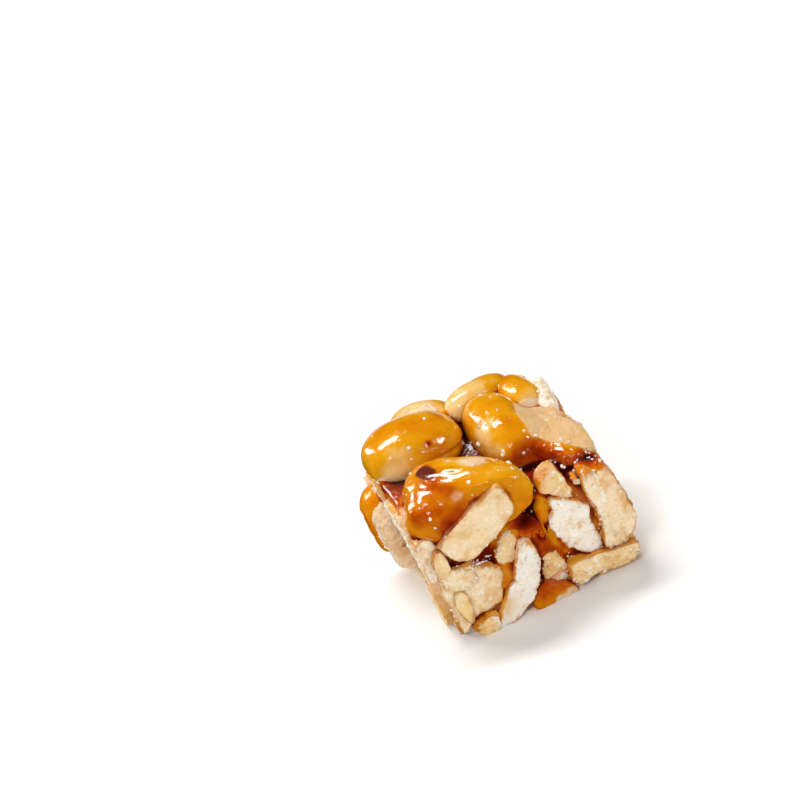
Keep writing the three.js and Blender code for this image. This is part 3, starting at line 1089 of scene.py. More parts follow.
@dataclass
class CaramelMatrix:
    """The set caramel: poured round the kernels, cut with them, and drawn up their sides as it set.

    Lengths are millimetres. The cut leaves it back of the knife's plane by inset, and its top lies
    dip under the block's. It climbs kernels to climb_most over its top and then fades, and wears a
    film over glazed ones, which the knife spares. Pairs are where a noise or a field starts to tell
    and where it tells in full.
    """

    name: str = "caramel_matrix"
    slot: str = "caramel"
    voxel: float = 0.22
    quick_voxel: float = 0.3
    low: Vec3 = (-17.5, -14.0, -1.5)
    high: Vec3 = (15.5, 13.0, 24.5)
    slack: float = 2.5
    inset: float = 0.5
    least_inset: float = 0.02
    inset_swing: float = 0.45
    inset_pitch: float = 3.0
    dip: float = 0.9
    swell: float = 0.5
    swell_pitch: float = 5.0
    ripple: float = 0.1
    ripple_pitch: float = 1.1
    corner_wear: float = 1.6
    climb: float = 0.6
    climb_under: float = 0.25
    climb_most: float = 0.8
    climb_fade: float = 0.8
    reach: float = 1.6
    film_reach: float = 1.0
    film_under: float = 0.16
    film_most: float = 0.2
    film_pitch: float = 4.5
    film_patches: Pair = (0.0, 0.8)
    film_blend: float = 0.3
    film_spared: float = 0.6
    fracture_inset: float = 0.2
    fracture: float = 0.12
    fracture_pitch: float = 1.3
    cut_near: Pair = (-0.45, -0.1)
    hollow_reach: float = 0.8
    hollow_crowding: Pair = (0.35, 0.85)
    probe: float = 0.45
    probe_clear: Pair = (0.1, 0.3)
    seed: int = 31
    near: Array = field(init=False)
    solid: Array = field(init=False)
    crowding: Array = field(init=False)

    def __post_init__(self) -> None:
        """Make the noise and the lattice."""
        self.noise = Noise(self.seed)
        self.lattice = Lattice(self.low, self.high, self.voxel)

    def dented(self, side: str, points: Array) -> Array:
        """Return how much deeper the dents make one side.

        Args:
            side: The side's name.
            points: Places in the block's frame, along the last axis.

        Returns:
            The depth at each place, in millimetres.
        """
        total = np.zeros(points.shape[:-1])
        for dent in DENTS:
            if dent.side == side:
                middle = BLOCK.side(side).place(dent.across, dent.up, 0)
                away = ((points - middle) ** 2).sum(axis=-1)
                total += dent.depth * np.exp(-away / dent.radius**2)
        return total

    def core(self, points: Array) -> Array:
        """Return how far points lie outside the poured block, before any caramel climbs a kernel.

        Args:
            points: Places in the block's frame, one a row.

        Returns:
            Millimetres, below 0 inside.
        """
        worn = self.noise.layered(points, self.inset_pitch, 2)
        swollen = self.swell * self.noise(points + SWELL_SHIFT, self.swell_pitch)
        sunk = self.dip + swollen + self.dented("top", points)
        total = points[..., 2] - BLOCK.top_height(points) + sunk
        for side in CUT_SIDES:
            recess = self.inset + self.inset_swing * worn + self.dented(side, points)
            beyond = BLOCK.beyond(side, points) + np.maximum(recess, self.least_inset)
            total = -smooth_min(-total, -beyond, self.corner_wear)
        total += self.ripple * self.noise(points, self.ripple_pitch)
        return np.maximum(total, BLOCK.beyond("bottom", points))

    def distances(self, shells: list[Shell]) -> Array:
        """Return how far each of the lattice's places lies outside some kernels."""
        return self.lattice.distances(Shell.joined(shells), self.reach)

    def pour(self, coated: list[Shell], others: list[Shell]) -> Shell:
        """Make the caramel round the kernels.

        Args:
            coated: The kernels that wear a film.
            others: The rest.

        Returns:
            The caramel's mesh, with the numbers depth, cut and hollow.
        """
        lattice = self.lattice
        near_coated = self.distances(coated)
        self.near = np.minimum(near_coated, self.distances(others))
        places = lattice.places()
        inside = BLOCK.beyond("bottom", places) < self.slack
        for side in CUT_SIDES:
            inside &= BLOCK.beyond(side, places) < self.slack
        inside &= places[..., 2] - BLOCK.top_height(places) < self.slack
        block = places[inside]
        total = np.full(lattice.shape, self.slack)
        total[inside] = self.core(block)
        climbing = self.near + self.climb_under + self.climb_fade * np.maximum(total - self.climb_most, 0)
        total = smooth_min(total, climbing, self.climb)
        skinned = np.abs(near_coated) < self.film_reach
        thick = self.noise.layered(places[skinned] + FILM_SHIFT, self.film_pitch, 2)
        film = self.film_most * smooth_step(*self.film_patches, thick) - self.film_under
        total[skinned] = smooth_min(total[skinned], near_coated[skinned] - film, self.film_blend)
        spared = near_coated[inside] < self.film_spared
        fracture = self.fracture * self.noise(block, self.fracture_pitch)
        for side in CUT_SIDES:
            beyond = BLOCK.beyond(side, block) - self.fracture_inset + fracture
            total[inside] = np.where(spared, total[inside], np.maximum(total[inside], beyond))
        total = np.maximum(total, BLOCK.beyond("bottom", places))
        self.solid = np.minimum(total, self.near)
        filled = np.clip(0.5 - self.solid / lattice.step, 0, 1)
        self.crowding = lattice.blurred(lattice.blurred(filled, self.hollow_reach), self.hollow_reach / 2)
        shell = lattice.surface(total)
        shell.numbers = self.measure(shell.points)
        return shell

    def measure(self, points: Array) -> dict[str, Array]:
        """Return the caramel's depth over the kernels and whether the knife cut it.

        Args:
            points: The caramel's points.

        Returns:
            The numbers depth, in millimetres, and cut and hollow, from 0 to 1.
        """
        outside = np.max([BLOCK.beyond(side, points) for side in CUT_SIDES], axis=0)
        numbers = {
            "depth": np.clip(self.lattice.sample(self.near, points), 0, self.reach),
            "cut": smooth_step(*self.cut_near, outside),
            "hollow": self.hollow(points),
        }
        stain(points, numbers)
        return numbers

    def hollow(self, points: Array) -> Array:
        """Return how shut in points are: 0 on a ridge, about a third on a plain and 1 in a deep pit."""
        return smooth_step(*self.hollow_crowding, self.lattice.sample(self.crowding, points))

    def exposure(self, shell: Shell) -> Array:
        """Return how open each point of a shell is, from 0, buried, to 1."""
        probes = shell.points + self.probe * shell.normals()
        return smooth_step(*self.probe_clear, self.lattice.sample(self.solid, probes))


@dataclass(frozen=True)
class Spot:
    """A stain: its middle in the block's frame, its radius, the number that it changes and by how much."""

    place: Vec3
    radius: float
    number: str
    amount: float


SPOTS = (
    # left_half: a red spot, bare ends and a browner foot.
    Spot((-5.7, 1.4, 21.0), 0.4, "syrup", 0.5),
    Spot((-0.4, 6.6, 19.5), 2.0, "syrup", -0.3),
    Spot((-0.4, 6.6, 19.5), 1.2, "film", -0.6),
    Spot((-5.0, 9.0, 21.2), 2.8, "syrup", -0.35),
    Spot((-9.0, 9.4, 20.6), 1.3, "film", -0.8),
    Spot((-6.2, 9.8, 20.8), 1.3, "film", -0.8),
    Spot((-3.4, 9.0, 20.7), 1.4, "film", -0.8),
    Spot((-11.6, 1.0, 18.6), 3.2, "syrup", -0.35),
    Spot((-12.6, 1.6, 17.8), 1.8, "film", -0.75),
    Spot((-11.0, 0.8, 18.2), 2.0, "film", -0.6),
    Spot((-6.3, 1.3, 20.3), 1.6, "syrup", 0.08),
    # front_half: burnt skin, a bare patch and syrup that ran to its low end.
    Spot((-8.6, -5.4, 22.1), 1.1, "burnt", 1.0),
    Spot((-7.9, -6.8, 22.1), 1.0, "burnt", 1.2),
    Spot((-7.8, -7.2, 22.0), 2.0, "syrup", 0.14),
    Spot((-6.2, -11.0, 20.2), 1.2, "film", -0.6),
    Spot((-6.2, -11.0, 20.2), 1.6, "syrup", 0.12),
    Spot((-9.2, -9.6, 19.0), 3.4, "syrup", 0.12),
    Spot((-8.8, -10.0, 18.4), 2.4, "syrup", 0.05),
    Spot((-6.6, -11.5, 18.2), 1.6, "syrup", 0.25),
    Spot((-10.4, -8.6, 16.9), 2.6, "syrup", 0.25),
    Spot((-8.0, -10.4, 16.0), 2.2, "syrup", 0.34),
    Spot((-2.8, -7.2, 21.6), 1.6, "syrup", -0.3),
    Spot((-2.1, -7.2, 21.5), 2.0, "film", -0.8),
    Spot((-5.0, -5.4, 22.0), 1.4, "film", -0.5),
    Spot((-5.0, -5.6, 21.9), 2.6, "syrup", -0.15),
    # split_kernel: bare where its face slopes to the right, with a worn patch on its left flank.
    Spot((7.9, 1.5, 18.0), 2.6, "film", -1.7),
    Spot((8.8, -2.0, 17.9), 2.6, "film", -1.7),
    Spot((10.4, -4.4, 17.2), 2.2, "film", -1.7),
    Spot((12.0, -6.6, 15.8), 1.8, "film", -1.7),
    Spot((9.8, 3.0, 17.4), 1.9, "film", -1.7),
    Spot((6.2, -3.1, 18.4), 1.0, "film", -1.0),
    Spot((1.1, 1.4, 20.7), 1.3, "film", -0.75),
    Spot((3.4, -2.2, 19.9), 0.8, "film", -0.5),
    Spot((1.0, -0.6, 19.8), 2.4, "syrup", -0.2),
    Spot((4.7, -1.9, 20.3), 1.5, "syrup", 0.12),
    Spot((3.6, -4.8, 17.6), 2.0, "syrup", 0.35),
    Spot((5.0, -3.8, 18.4), 1.8, "syrup", 0.1),
    Spot((4.8, -3.4, 18.8), 1.5, "film", 1.2),
    # The pool that ran over its foot.
    Spot((5.6, -4.6, 16.8), 1.7, "film", 1.8),
    Spot((7.6, -6.8, 16.0), 1.7, "film", 2.2),
    Spot((9.8, -8.2, 15.6), 1.7, "film", 2.2),
    Spot((12.0, -9.2, 14.0), 1.7, "film", 2.2),
    Spot((6.0, -5.4, 16.2), 1.8, "syrup", 0.5),
    Spot((8.0, -7.2, 16.0), 1.7, "syrup", 0.42),
    Spot((10.6, -8.6, 15.2), 1.8, "syrup", 0.42),
    Spot((4.9, -5.6, 15.4), 2.2, "depth", 0.5),
    Spot((7.0, -6.8, 16.0), 2.0, "depth", 0.8),
    Spot((9.0, -8.2, 15.8), 2.0, "depth", 0.8),
    Spot((11.4, -8.9, 14.5), 1.6, "depth", 0.5),
    # Painted shade: the pool's right end darkened through its hollow number.
    Spot((11.6, -8.0, 14.6), 1.7, "hollow", 0.5),
    Spot((1.4, -3.8, 18.8), 1.4, "syrup", -0.25),
    Spot((11.8, -10.8, 15.4), 2.2, "syrup", 0.3),
    Spot((5.6, -10.6, 17.4), 1.4, "syrup", 0.2),
    # Dark pits on the front, under the split kernel, the stick and the left chip: deep caramel and painted
    # shade.
    Spot((1.4, -9.6, 12.4), 1.8, "depth", 1.6),
    Spot((1.2, -10.2, 12.2), 1.7, "syrup", 0.5),
    Spot((1.7, -10.2, 5.2), 1.3, "depth", 0.8),
    Spot((3.0, -9.8, 8.6), 1.4, "depth", 0.9),
    Spot((-11.4, -8.6, 16.2), 1.3, "syrup", 0.5),
    Spot((-10.8, -9.4, 15.2), 1.9, "depth", 1.8),
    # Painted shade through the hollow number.
    Spot((-10.8, -9.4, 15.2), 1.6, "hollow", 0.5),
    Spot((-5.6, -9.6, 9.9), 1.4, "depth", 0.7),
    Spot((2.9, -9.6, 1.6), 0.8, "depth", 0.9),
    Spot((2.2, -10.0, 9.2), 1.3, "depth", 0.9),
    Spot((2.9, -10.0, 6.6), 1.2, "depth", 0.9),
    # Amber in the gaps beside the curved slice and the right half, with less of the hollows' painted shade.
    Spot((-3.8, -10.2, 5.0), 1.8, "depth", -1.2),
    Spot((-4.6, -10.4, 4.0), 2.2, "cut", -0.9),
    Spot((-4.6, -10.2, 4.0), 2.0, "hollow", -0.5),
    Spot((3.5, -10.4, 7.4), 0.9, "depth", -0.8),
    Spot((8.3, -10.2, 11.0), 2.2, "depth", -1.0),
    Spot((8.6, -10.2, 7.2), 2.2, "depth", -1.0),
    Spot((8.4, -10.2, 9.0), 2.6, "hollow", -0.6),
    # The front's left edge, where the knife took the film off.
    Spot((-13.6, -9.2, 12.5), 3.0, "film", -0.9),
    Spot((-13.0, -8.8, 6.5), 3.4, "film", -0.9),
    Spot((-12.6, -9.0, 2.0), 3.0, "film", -0.3),
    Spot((-12.4, -9.8, 3.0), 2.6, "pale", -0.5),
    Spot((-10.4, -12.0, 4.8), 1.7, "film", 0.45),
    Spot((-10.4, -12.0, 4.8), 2.0, "syrup", -0.2),
    Spot((3.2, -10.6, 15.8), 1.3, "film", 0.7),
    Spot((4.6, -10.4, 17.4), 1.0, "film", 0.5),
    Spot((-5.6, -11.4, 2.6), 1.5, "film", 0.8),
    Spot((-5.6, -11.4, 2.6), 2.0, "syrup", -0.2),
    # bottom_flap: a bare lower edge.
    Spot((3.0, -12.2, 0.2), 1.2, "film", -0.9),
    Spot((1.2, -12.2, 0.0), 0.9, "film", -0.8),
)


def stain(points: Array, numbers: dict[str, Array]) -> None:
    """Add to some points' numbers what the spots over them change.

    Args:
        points: The points, in the block's frame.
        numbers: Their numbers by name, which are changed.
    """
    for spot in SPOTS:
        if spot.number in numbers:
            away = ((points - np.array(spot.place)) ** 2).sum(axis=1) / spot.radius**2
            numbers[spot.number] = numbers[spot.number] + spot.amount * np.exp(-away)


# ---------------------------------------------------------------------------------------------
# Materials


def linear(hex_colour: str) -> tuple[float, float, float, float]:
    """Turn an sRGB hex colour to linear red, green, blue and alpha.

    Args:
        hex_colour: Such as "#edce9f".

    Returns:
        The four numbers that a colour socket takes.
    """
    parts = [int(hex_colour[k : k + 2], 16) / 255 for k in (1, 3, 5)]
    red, green, blue = (v / 12.92 if v <= 0.04045 else ((v + 0.055) / 1.055) ** 2.4 for v in parts)
    return red, green, blue, 1.0


def per_metre(pitch: float) -> float:
    """Return the noise scale on Object coordinates that gives a pitch in millimetres."""
    return 1 / (pitch * MM)


def add(
    tree: bpy.types.NodeTree, kind: str, feeds: dict | None = None, **settings: object
) -> bpy.types.Node:
    """Add a node with its settings and links.

    Args:
        tree: Where it goes.
        kind: Its type, such as ShaderNodeMix.
        feeds: For each input, by name or number, what feeds it: a node, a socket or a value.
        settings: The node's own properties.

    Returns:
        The node.
    """
    made = tree.nodes.new(kind)
    for key, value in settings.items():
        setattr(made, key, value)
    for key, value in (feeds or {}).items():
        if isinstance(value, bpy.types.Node):
            value = next(socket for socket in value.outputs if socket.enabled)
        if isinstance(value, bpy.types.NodeSocket):
            tree.links.new(value, made.inputs[key])
        else:
            made.inputs[key].default_value = value
    return made


def new_material(name: str) -> tuple[bpy.types.Material, bpy.types.NodeTree]:
    """Make a new node material.

    Args:
        name: The material's name.

    Returns:
        The material and its emptied tree.
    """
    material = bpy.data.materials.new(name)
    material.use_nodes = True
    material.node_tree.nodes.clear()
    return material, material.node_tree


# The kinds of node that the materials use most. A mix of colours takes its share at input 0, the
# colour under at 6 and the one over at 7.
NOISE = "ShaderNodeTexNoise"
RANGE = "ShaderNodeMapRange"
MATH = "ShaderNodeMath"
MIX = "ShaderNodeMix"
VECTOR = "ShaderNodeVectorMath"
BSDF = "ShaderNodeBsdfPrincipled"
OUTPUT = "ShaderNodeOutputMaterial"
SMOOTH = {"interpolation_type": "SMOOTHSTEP"}
COLOURS = {"data_type": "RGBA"}


def span(value: object, limits: Limits) -> dict[int, object]:
    """Return a range's feeds: the value, where it starts and ends, and what it gives there."""
    return dict(enumerate((value, *limits)))


@dataclass(frozen=True)
class SyrupColours:
    """Caramel from thin to deep: honey, amber, orange, red-brown and nearly black."""

    stops: tuple[tuple[float, str], ...] = (
        (0.0, "#f4d08c"),
        (0.22, "#e6a010"),
        (0.42, "#da8404"),
        (0.6, "#bc4c04"),
        (0.78, "#861c02"),
        (1.0, "#380602"),
    )

    def ramp(self, tree: bpy.types.NodeTree, depth: object) -> bpy.types.Node:
        """Add the colours as a ramp.

        Args:
            tree: Where it goes.
            depth: The node or socket that gives 0 for thin and 1 for deep.

        Returns:
            The ramp's node.
        """
        made = add(tree, "ShaderNodeValToRGB", {0: depth})
        elements = made.color_ramp.elements
        while len(elements) < len(self.stops):
            elements.new(0.5)
        for element, (position, colour) in zip(elements, self.stops):
            element.position = position
            element.color = linear(colour)
        return made


@dataclass(frozen=True)
class RoastedPeanut:
    """Dry-roasted peanut, cut by a knife or under a film of set caramel.

    Cut flesh is close-grained, cream to chalk white and matt, dusted with its own powder on what
    stands proud and toasted where it met the skin. The film turns it amber to orange and makes it
    shine like glass.
    """

    name: str = "roasted_peanut"
    cream: str = "#f8daa0"
    chalk: str = "#faf2e4"
    toast_and_shade: str = "#dfa95e"
    skin: str = "#c06f1e"
    bare: str = "#c99247"
    burnt: str = "#6a2a1e"
    syrup: SyrupColours = SyrupColours()
    coat: float = 0.0
    matt: float = 0.9
    gloss: float = 0.12
    mottle_pitch: float = 1.9
    # The flesh's grain is really some 0.1 mm wide, and drawn coarser so that it shows.
    grain_pitch: float = 0.42
    wave_pitch: float = 1.0
    streak_pitch: float = 4.0
    grain_height: float = 0.16
    wave_height: float = 0.12
    ripple_height: float = 0.035
    grain_share: float = 0.6
    pale_share: float = 0.1
    tone_share: float = 0.25
    uncut: Limits = (0.0, 0.3, 0.8, 0.0)
    clouds: Limits = (0.46, 0.7, 0.0, 0.6)
    # This range paints shade: the low grain of a cut face is toasted darker so that its relief shows.
    sunk: Limits = (0.3, 0.0, 0.0, 0.8)
    powder: Limits = (0.34, 0.5, 0.0, 0.9)
    bald: Limits = (0.0, 0.8, 1.0, 0.35)
    torn: Limits = (0.4, 0.58, 0.1, 0.75)
    # This range paints shade: the skin's brown laid into the flesh in hollows.
    pit_shade: Limits = (0.65, 1.0, 0.0, 0.85)
    streaks: Limits = (0.3, 0.7, -0.16, 0.16)
    # This range deepens the film in hollows, partly as thicker syrup and partly as painted shade.
    pooled_and_shaded: Limits = (0.55, 1.0, 0.0, 0.45)
    wet: Limits = (0.2, 0.6, 0.0, 1.0)

    def build(self) -> bpy.types.Material:
        """Return the material."""
        material, tree = new_material(self.name)
        place = add(tree, "ShaderNodeTexCoord").outputs["Object"]
        read = {
            key: add(tree, "ShaderNodeAttribute", attribute_name=key).outputs["Fac"]
            for key in ("cut", "rim", "pale", "tone", "film", "syrup", "burnt", "relief", "hollow")
        }
        mottle, grain, wave, streak = (
            add(tree, NOISE, {"Vector": place, "Scale": per_metre(pitch), "Detail": detail})
            for pitch, detail in (
                (self.mottle_pitch, 4),
                (self.grain_pitch, 3),
                (self.wave_pitch, 2),
                (self.streak_pitch, 3),
            )
        )
        flesh = self.flesh(tree, read, mottle, grain)

        # Film: the syrup's colours, streaked as it ran, deepest in pits as thicker syrup and painted shade.
        run = add(tree, RANGE, span(streak, self.streaks))
        depth = add(tree, MATH, {0: read["syrup"], 1: run}, operation="ADD")
        pooled_and_shaded = add(tree, RANGE, span(read["hollow"], self.pooled_and_shaded))
        depth = add(tree, MATH, {0: depth, 1: pooled_and_shaded}, operation="ADD")
        film = self.syrup.ramp(tree, depth)
        colour = add(tree, MIX, {0: read["film"], 6: flesh, 7: film}, **COLOURS)
        colour = add(tree, MIX, {0: read["burnt"], 6: colour, 7: linear(self.burnt)}, **COLOURS)

        # Shine under the film, and grain where it is dry.
        wet = add(tree, RANGE, span(read["film"], self.wet), **SMOOTH)
        rough = add(tree, RANGE, {0: wet, 3: self.matt, 4: self.gloss})
        coat = add(tree, MATH, {0: wet, 1: self.coat}, operation="MULTIPLY")
        dry = add(tree, MATH, {0: 1.0, 1: wet}, operation="SUBTRACT")
        grainy = add(tree, MATH, {0: grain, 1: dry}, operation="MULTIPLY")
        height = add(tree, MATH, {0: grainy, 1: self.grain_height}, operation="MULTIPLY")
        for noise, high in ((wave, self.wave_height), (grain, self.ripple_height)):
            height = add(tree, MATH, {0: noise, 1: high, 2: height}, operation="MULTIPLY_ADD")
        look = {
            "Base Color": colour,
            "Roughness": rough,
            "Normal": add(tree, "ShaderNodeBump", {"Height": height, "Strength": 1.0, "Distance": MM}),
            "IOR": 1.48,
            "Coat Weight": coat,
            "Coat Roughness": 0.04,
            "Subsurface Weight": 0.15,
            "Subsurface Radius": (1.0, 0.55, 0.25),
            "Subsurface Scale": 0.8 * MM,
        }
        add(tree, OUTPUT, {"Surface": add(tree, BSDF, look)})
        return material

    def flesh(
        self,
        tree: bpy.types.NodeTree,
        read: dict[str, bpy.types.NodeSocket],
        mottle: bpy.types.Node,
        grain: bpy.types.Node,
    ) -> bpy.types.Node:
        """Add the flesh's colours: toasted clouds, powder on what stands proud and a brown rim.

        Args:
            tree: Where they go.
            read: The mesh's numbers, by name.
            mottle: The coarse noise, for clouds and for gaps in the rim.
            grain: The fine noise.

        Returns:
            The node that gives the colour.
        """
        uncut = add(tree, RANGE, span(read["cut"], self.uncut), **SMOOTH)
        raised = add(tree, MATH, {0: grain, 1: self.grain_share, 2: read["relief"]}, operation="MULTIPLY_ADD")
        raised = add(tree, MATH, {0: read["pale"], 1: self.pale_share, 2: raised}, operation="MULTIPLY_ADD")
        bald = add(tree, RANGE, span(uncut, self.bald))
        dusty = add(tree, RANGE, span(raised, self.powder), **SMOOTH)
        torn = add(tree, RANGE, span(mottle, self.torn), **SMOOTH)
        chalk, toast_and_shade, skin = (linear(colour) for colour in (self.chalk, self.toast_and_shade, self.skin))
        colour, whole = (
            add(tree, MIX, {0: read["pale"], 6: linear(dark), 7: chalk}, **COLOURS)
            for dark in (self.cream, self.bare)
        )
        for share, over in (
            (uncut, whole),
            (add(tree, RANGE, span(mottle, self.clouds), **SMOOTH), toast_and_shade),
            # Painted shade: toast in the sunk grain.
            (add(tree, RANGE, span(raised, self.sunk), **SMOOTH), toast_and_shade),
            (add(tree, MATH, {0: read["tone"], 1: self.tone_share}, operation="MULTIPLY"), toast_and_shade),
            (add(tree, MATH, {0: dusty, 1: bald}, operation="MULTIPLY"), chalk),
            (add(tree, MATH, {0: read["rim"], 1: torn}, operation="MULTIPLY"), skin),
            # Painted shade: the skin's brown in the hollows.
            (add(tree, RANGE, span(read["hollow"], self.pit_shade), **SMOOTH), skin),
        ):
            colour = add(tree, MIX, {0: share, 6: colour, 7: over}, **COLOURS)
        return colour


@dataclass(frozen=True)
class SetCaramel:
    """Hard caramel, boiled to amber and set: clear as glass where thin, red-brown where deep.

    The eye sees a wet shine over a warm colour that glows from inside. Where the knife went through
    it is crazed and dull.
    """

    name: str = "set_caramel"
    syrup: SyrupColours = SyrupColours()
    crazed: str = "#c07a2c"
    crazed_share: float = 0.25
    gloss: float = 0.08
    dull: float = 0.25
    streak_pitch: float = 2.6
    wave_pitch: float = 0.9
    wave_height: float = 0.2
    deepening: Limits = (0.0, 1.2, 0.42, 0.8)
    streaks: Limits = (0.3, 0.7, -0.15, 0.15)
    # This range deepens the caramel in hollows, partly as thicker caramel and partly as painted shade.
    pooled_and_shaded: Limits = (0.3, 0.9, 0.0, 0.55)

    def build(self) -> bpy.types.Material:
        """Return the material."""
        material, tree = new_material(self.name)
        place = add(tree, "ShaderNodeTexCoord").outputs["Object"]
        read = {
            key: add(tree, "ShaderNodeAttribute", attribute_name=key).outputs["Fac"]
            for key in ("depth", "cut", "hollow")
        }
        streak, wave = (
            add(tree, NOISE, {"Vector": place, "Scale": per_metre(pitch), "Detail": detail})
            for pitch, detail in ((self.streak_pitch, 3), (self.wave_pitch, 2))
        )
        deep = add(tree, RANGE, span(read["depth"], self.deepening))
        # Streaks, and hollows deepened partly as thicker caramel and partly as painted shade.
        for more in (span(streak, self.streaks), span(read["hollow"], self.pooled_and_shaded)):
            deep = add(tree, MATH, {0: deep, 1: add(tree, RANGE, more)}, operation="ADD")
        dusty = add(tree, MATH, {0: read["cut"], 1: self.crazed_share}, operation="MULTIPLY")
        syrup = self.syrup.ramp(tree, deep)
        height = add(tree, MATH, {0: wave, 1: self.wave_height}, operation="MULTIPLY")
        look = {
            "Base Color": add(tree, MIX, {0: dusty, 6: syrup, 7: linear(self.crazed)}, **COLOURS),
            "Roughness": add(tree, RANGE, {0: read["cut"], 3: self.gloss, 4: self.dull}),
            "Normal": add(tree, "ShaderNodeBump", {"Height": height, "Strength": 1.0, "Distance": MM}),
            "IOR": 1.5,
            "Coat Weight": 0.5,
            "Coat Roughness": 0.03,
            "Subsurface Weight": 0.2,
            "Subsurface Radius": (1.0, 0.3, 0.08),
            "Subsurface Scale": 1.0 * MM,
        }
        add(tree, OUTPUT, {"Surface": add(tree, BSDF, look)})
        return material


@dataclass(frozen=True)
class Powder:
    """Loose grains on the brittle: sugar crystals, or crumbs of roasted peanut, pale and matt."""

    name: str
    light: str
    dark: str
    rough: float
    pitch: float = 0.9
    darkening: Limits = (0.4, 0.6, 0.0, 1.0)

    def build(self) -> bpy.types.Material:
        """Return the material."""
        material, tree = new_material(self.name)
        place = add(tree, "ShaderNodeTexCoord").outputs["Object"]
        noise = add(tree, NOISE, {"Vector": place, "Scale": per_metre(self.pitch), "Detail": 2})
        share = add(tree, RANGE, span(noise, self.darkening))
        look = {
            "Base Color": add(tree, MIX, {0: share, 6: linear(self.light), 7: linear(self.dark)}, **COLOURS),
            "Roughness": self.rough,
            "Subsurface Weight": 0.2,
            "Subsurface Radius": (1.0, 0.7, 0.4),
            "Subsurface Scale": 0.3 * MM,
        }
        add(tree, OUTPUT, {"Surface": add(tree, BSDF, look)})
        return material


# ---------------------------------------------------------------------------------------------
# Pieces


@dataclass(frozen=True)
class SyrupFilm:
    """The film of syrup on kernels, patchy as it ran and worn off where it is thin.

    Patches come from one noise, whose pitch is in millimetres. Pairs are where that noise, or a
    distance in millimetres from the poured caramel, starts to tell and where it tells in full.
    """

    pitch: float = 2.6
    sticky: Pair = (-0.6, 0.1)
    sticky_share: float = 0.92
    dry: Pair = (0.35, 0.8)
    dry_share: float = 0.6
    nearness: Pair = (0.7, -0.2)
    near_swing: float = 0.5
    near_share: float = 0.9
    cut_loss: float = 0.8
    worn: Pair = (0.2, 0.8)
    worn_share: float = 0.22
    edge: Pair = (0.3, 0.62)
    edge_swing: float = 0.12
    edge_pitch: float = 0.7
    burnt: Pair = (0.3, 0.7)
    burnt_swing: float = 0.25
    burnt_from: float = 0.05

    def lay(self, shell: Shell, caramel: CaramelMatrix, seed: int) -> None:
        """Give a shell of kernels the numbers film, burnt and hollow, stained.

        Args:
            shell: The kernels, whose number coated is used up.
            caramel: The caramel, already poured.
            seed: Of the noise.
        """
        noise = Noise(seed)
        numbers = shell.numbers
        patchy = noise.layered(shell.points, self.pitch, 3)
        near = smooth_step(*self.nearness, caramel.core(shell.points) + self.near_swing * patchy)
        coated = numbers.pop("coated")
        glazed = coated > ABOVE_CUT
        sticky = smooth_step(*self.sticky, patchy) * self.sticky_share
        dry = smooth_step(*self.dry, patchy) * self.dry_share
        on_skin = np.where(coated > ABOVE_BARE, sticky, dry)
        film = np.where(numbers["cut"] > 0, (1 - numbers["cut"]) * on_skin, on_skin)
        film = np.maximum(film, near * (self.near_share - self.cut_loss * numbers["cut"]))
        numbers["film"] = np.where(glazed, 1.0, film)
        numbers["burnt"] = np.zeros(len(shell.points))
        numbers["hollow"] = caramel.hollow(shell.points)
        stain(shell.points, numbers)
        worn = numbers["film"] - self.worn_share * smooth_step(*self.worn, patchy)
        sharp = smooth_step(*self.edge, worn + self.edge_swing * noise(shell.points, self.edge_pitch))
        numbers["film"] = np.where(glazed, sharp, worn)
        charred = numbers["burnt"] + self.burnt_swing * patchy * (numbers["burnt"] > self.burnt_from)
        numbers["burnt"] = smooth_step(*self.burnt, charred)


@dataclass
class KernelGroup:
    """Kernels that make one piece; those shorter than small are carved one level coarser."""

    name: str
    slot: str
    kernels: tuple[Kernel, ...]
    level: int = 6
    quick_level: int = 5
    small: float = 5.0
    film: SyrupFilm = SyrupFilm()
    seed: int = 77
    shells: list[Shell] = field(default_factory=list)
    finishes: list[Finish] = field(default_factory=list)
    shell: Shell = field(init=False)

    def carve(self, carver: KernelCarver) -> None:
        """Carve the group's kernels."""
        level = self.level
        for kernel in self.kernels:
            finer = level - 1 if max(kernel.size) < self.small else level
            self.keep(carver.carve(kernel, finer), kernel.finish)

    def keep(self, shell: Shell, finish: Finish) -> None:
        """Take a carved kernel into the group."""
        self.shells.append(shell)
        self.finishes.append(finish)

    def of_finish(self, coated: bool) -> list[Shell]:
        """Return the shells of glazed kernels, or of all others."""
        return [shell for shell, finish in zip(self.shells, self.finishes) if (finish is GLAZED) == coated]

    def dress(self, caramel: CaramelMatrix, material: bpy.types.Material) -> bpy.types.Object:
        """Lay the film, add the stains and make the piece.

        Args:
            caramel: The caramel, already poured.
            material: The peanut's material.

        Returns:
            The piece.
        """
        self.shell = Shell.joined(self.shells)
        self.film.lay(self.shell, caramel, self.seed)
        return self.shell.to_object(self.name, material)


@dataclass(frozen=True)
class Ground:
    """A surface that grains may lie on, and for each of its points how much tells for a grain.

    opened is how open it is, hollow how shut in, and edge how near to the rim of a cut face.
    """

    shell: Shell
    opened: Array
    hollow: Array
    edge: Array

    @classmethod
    def of(cls, shell: Shell, caramel: CaramelMatrix) -> "Ground":
        """Measure a shell beside the poured caramel."""
        edge = shell.numbers.get("rim", np.zeros(len(shell.points)))
        return cls(shell, caramel.exposure(shell), caramel.hollow(shell.points), edge)

    def weighed(self, weight: Array) -> Shell:
        """Return the surface in triangles, with the number weight alone."""
        return Shell(self.shell.points, self.shell.triangles(), {"weight": weight})


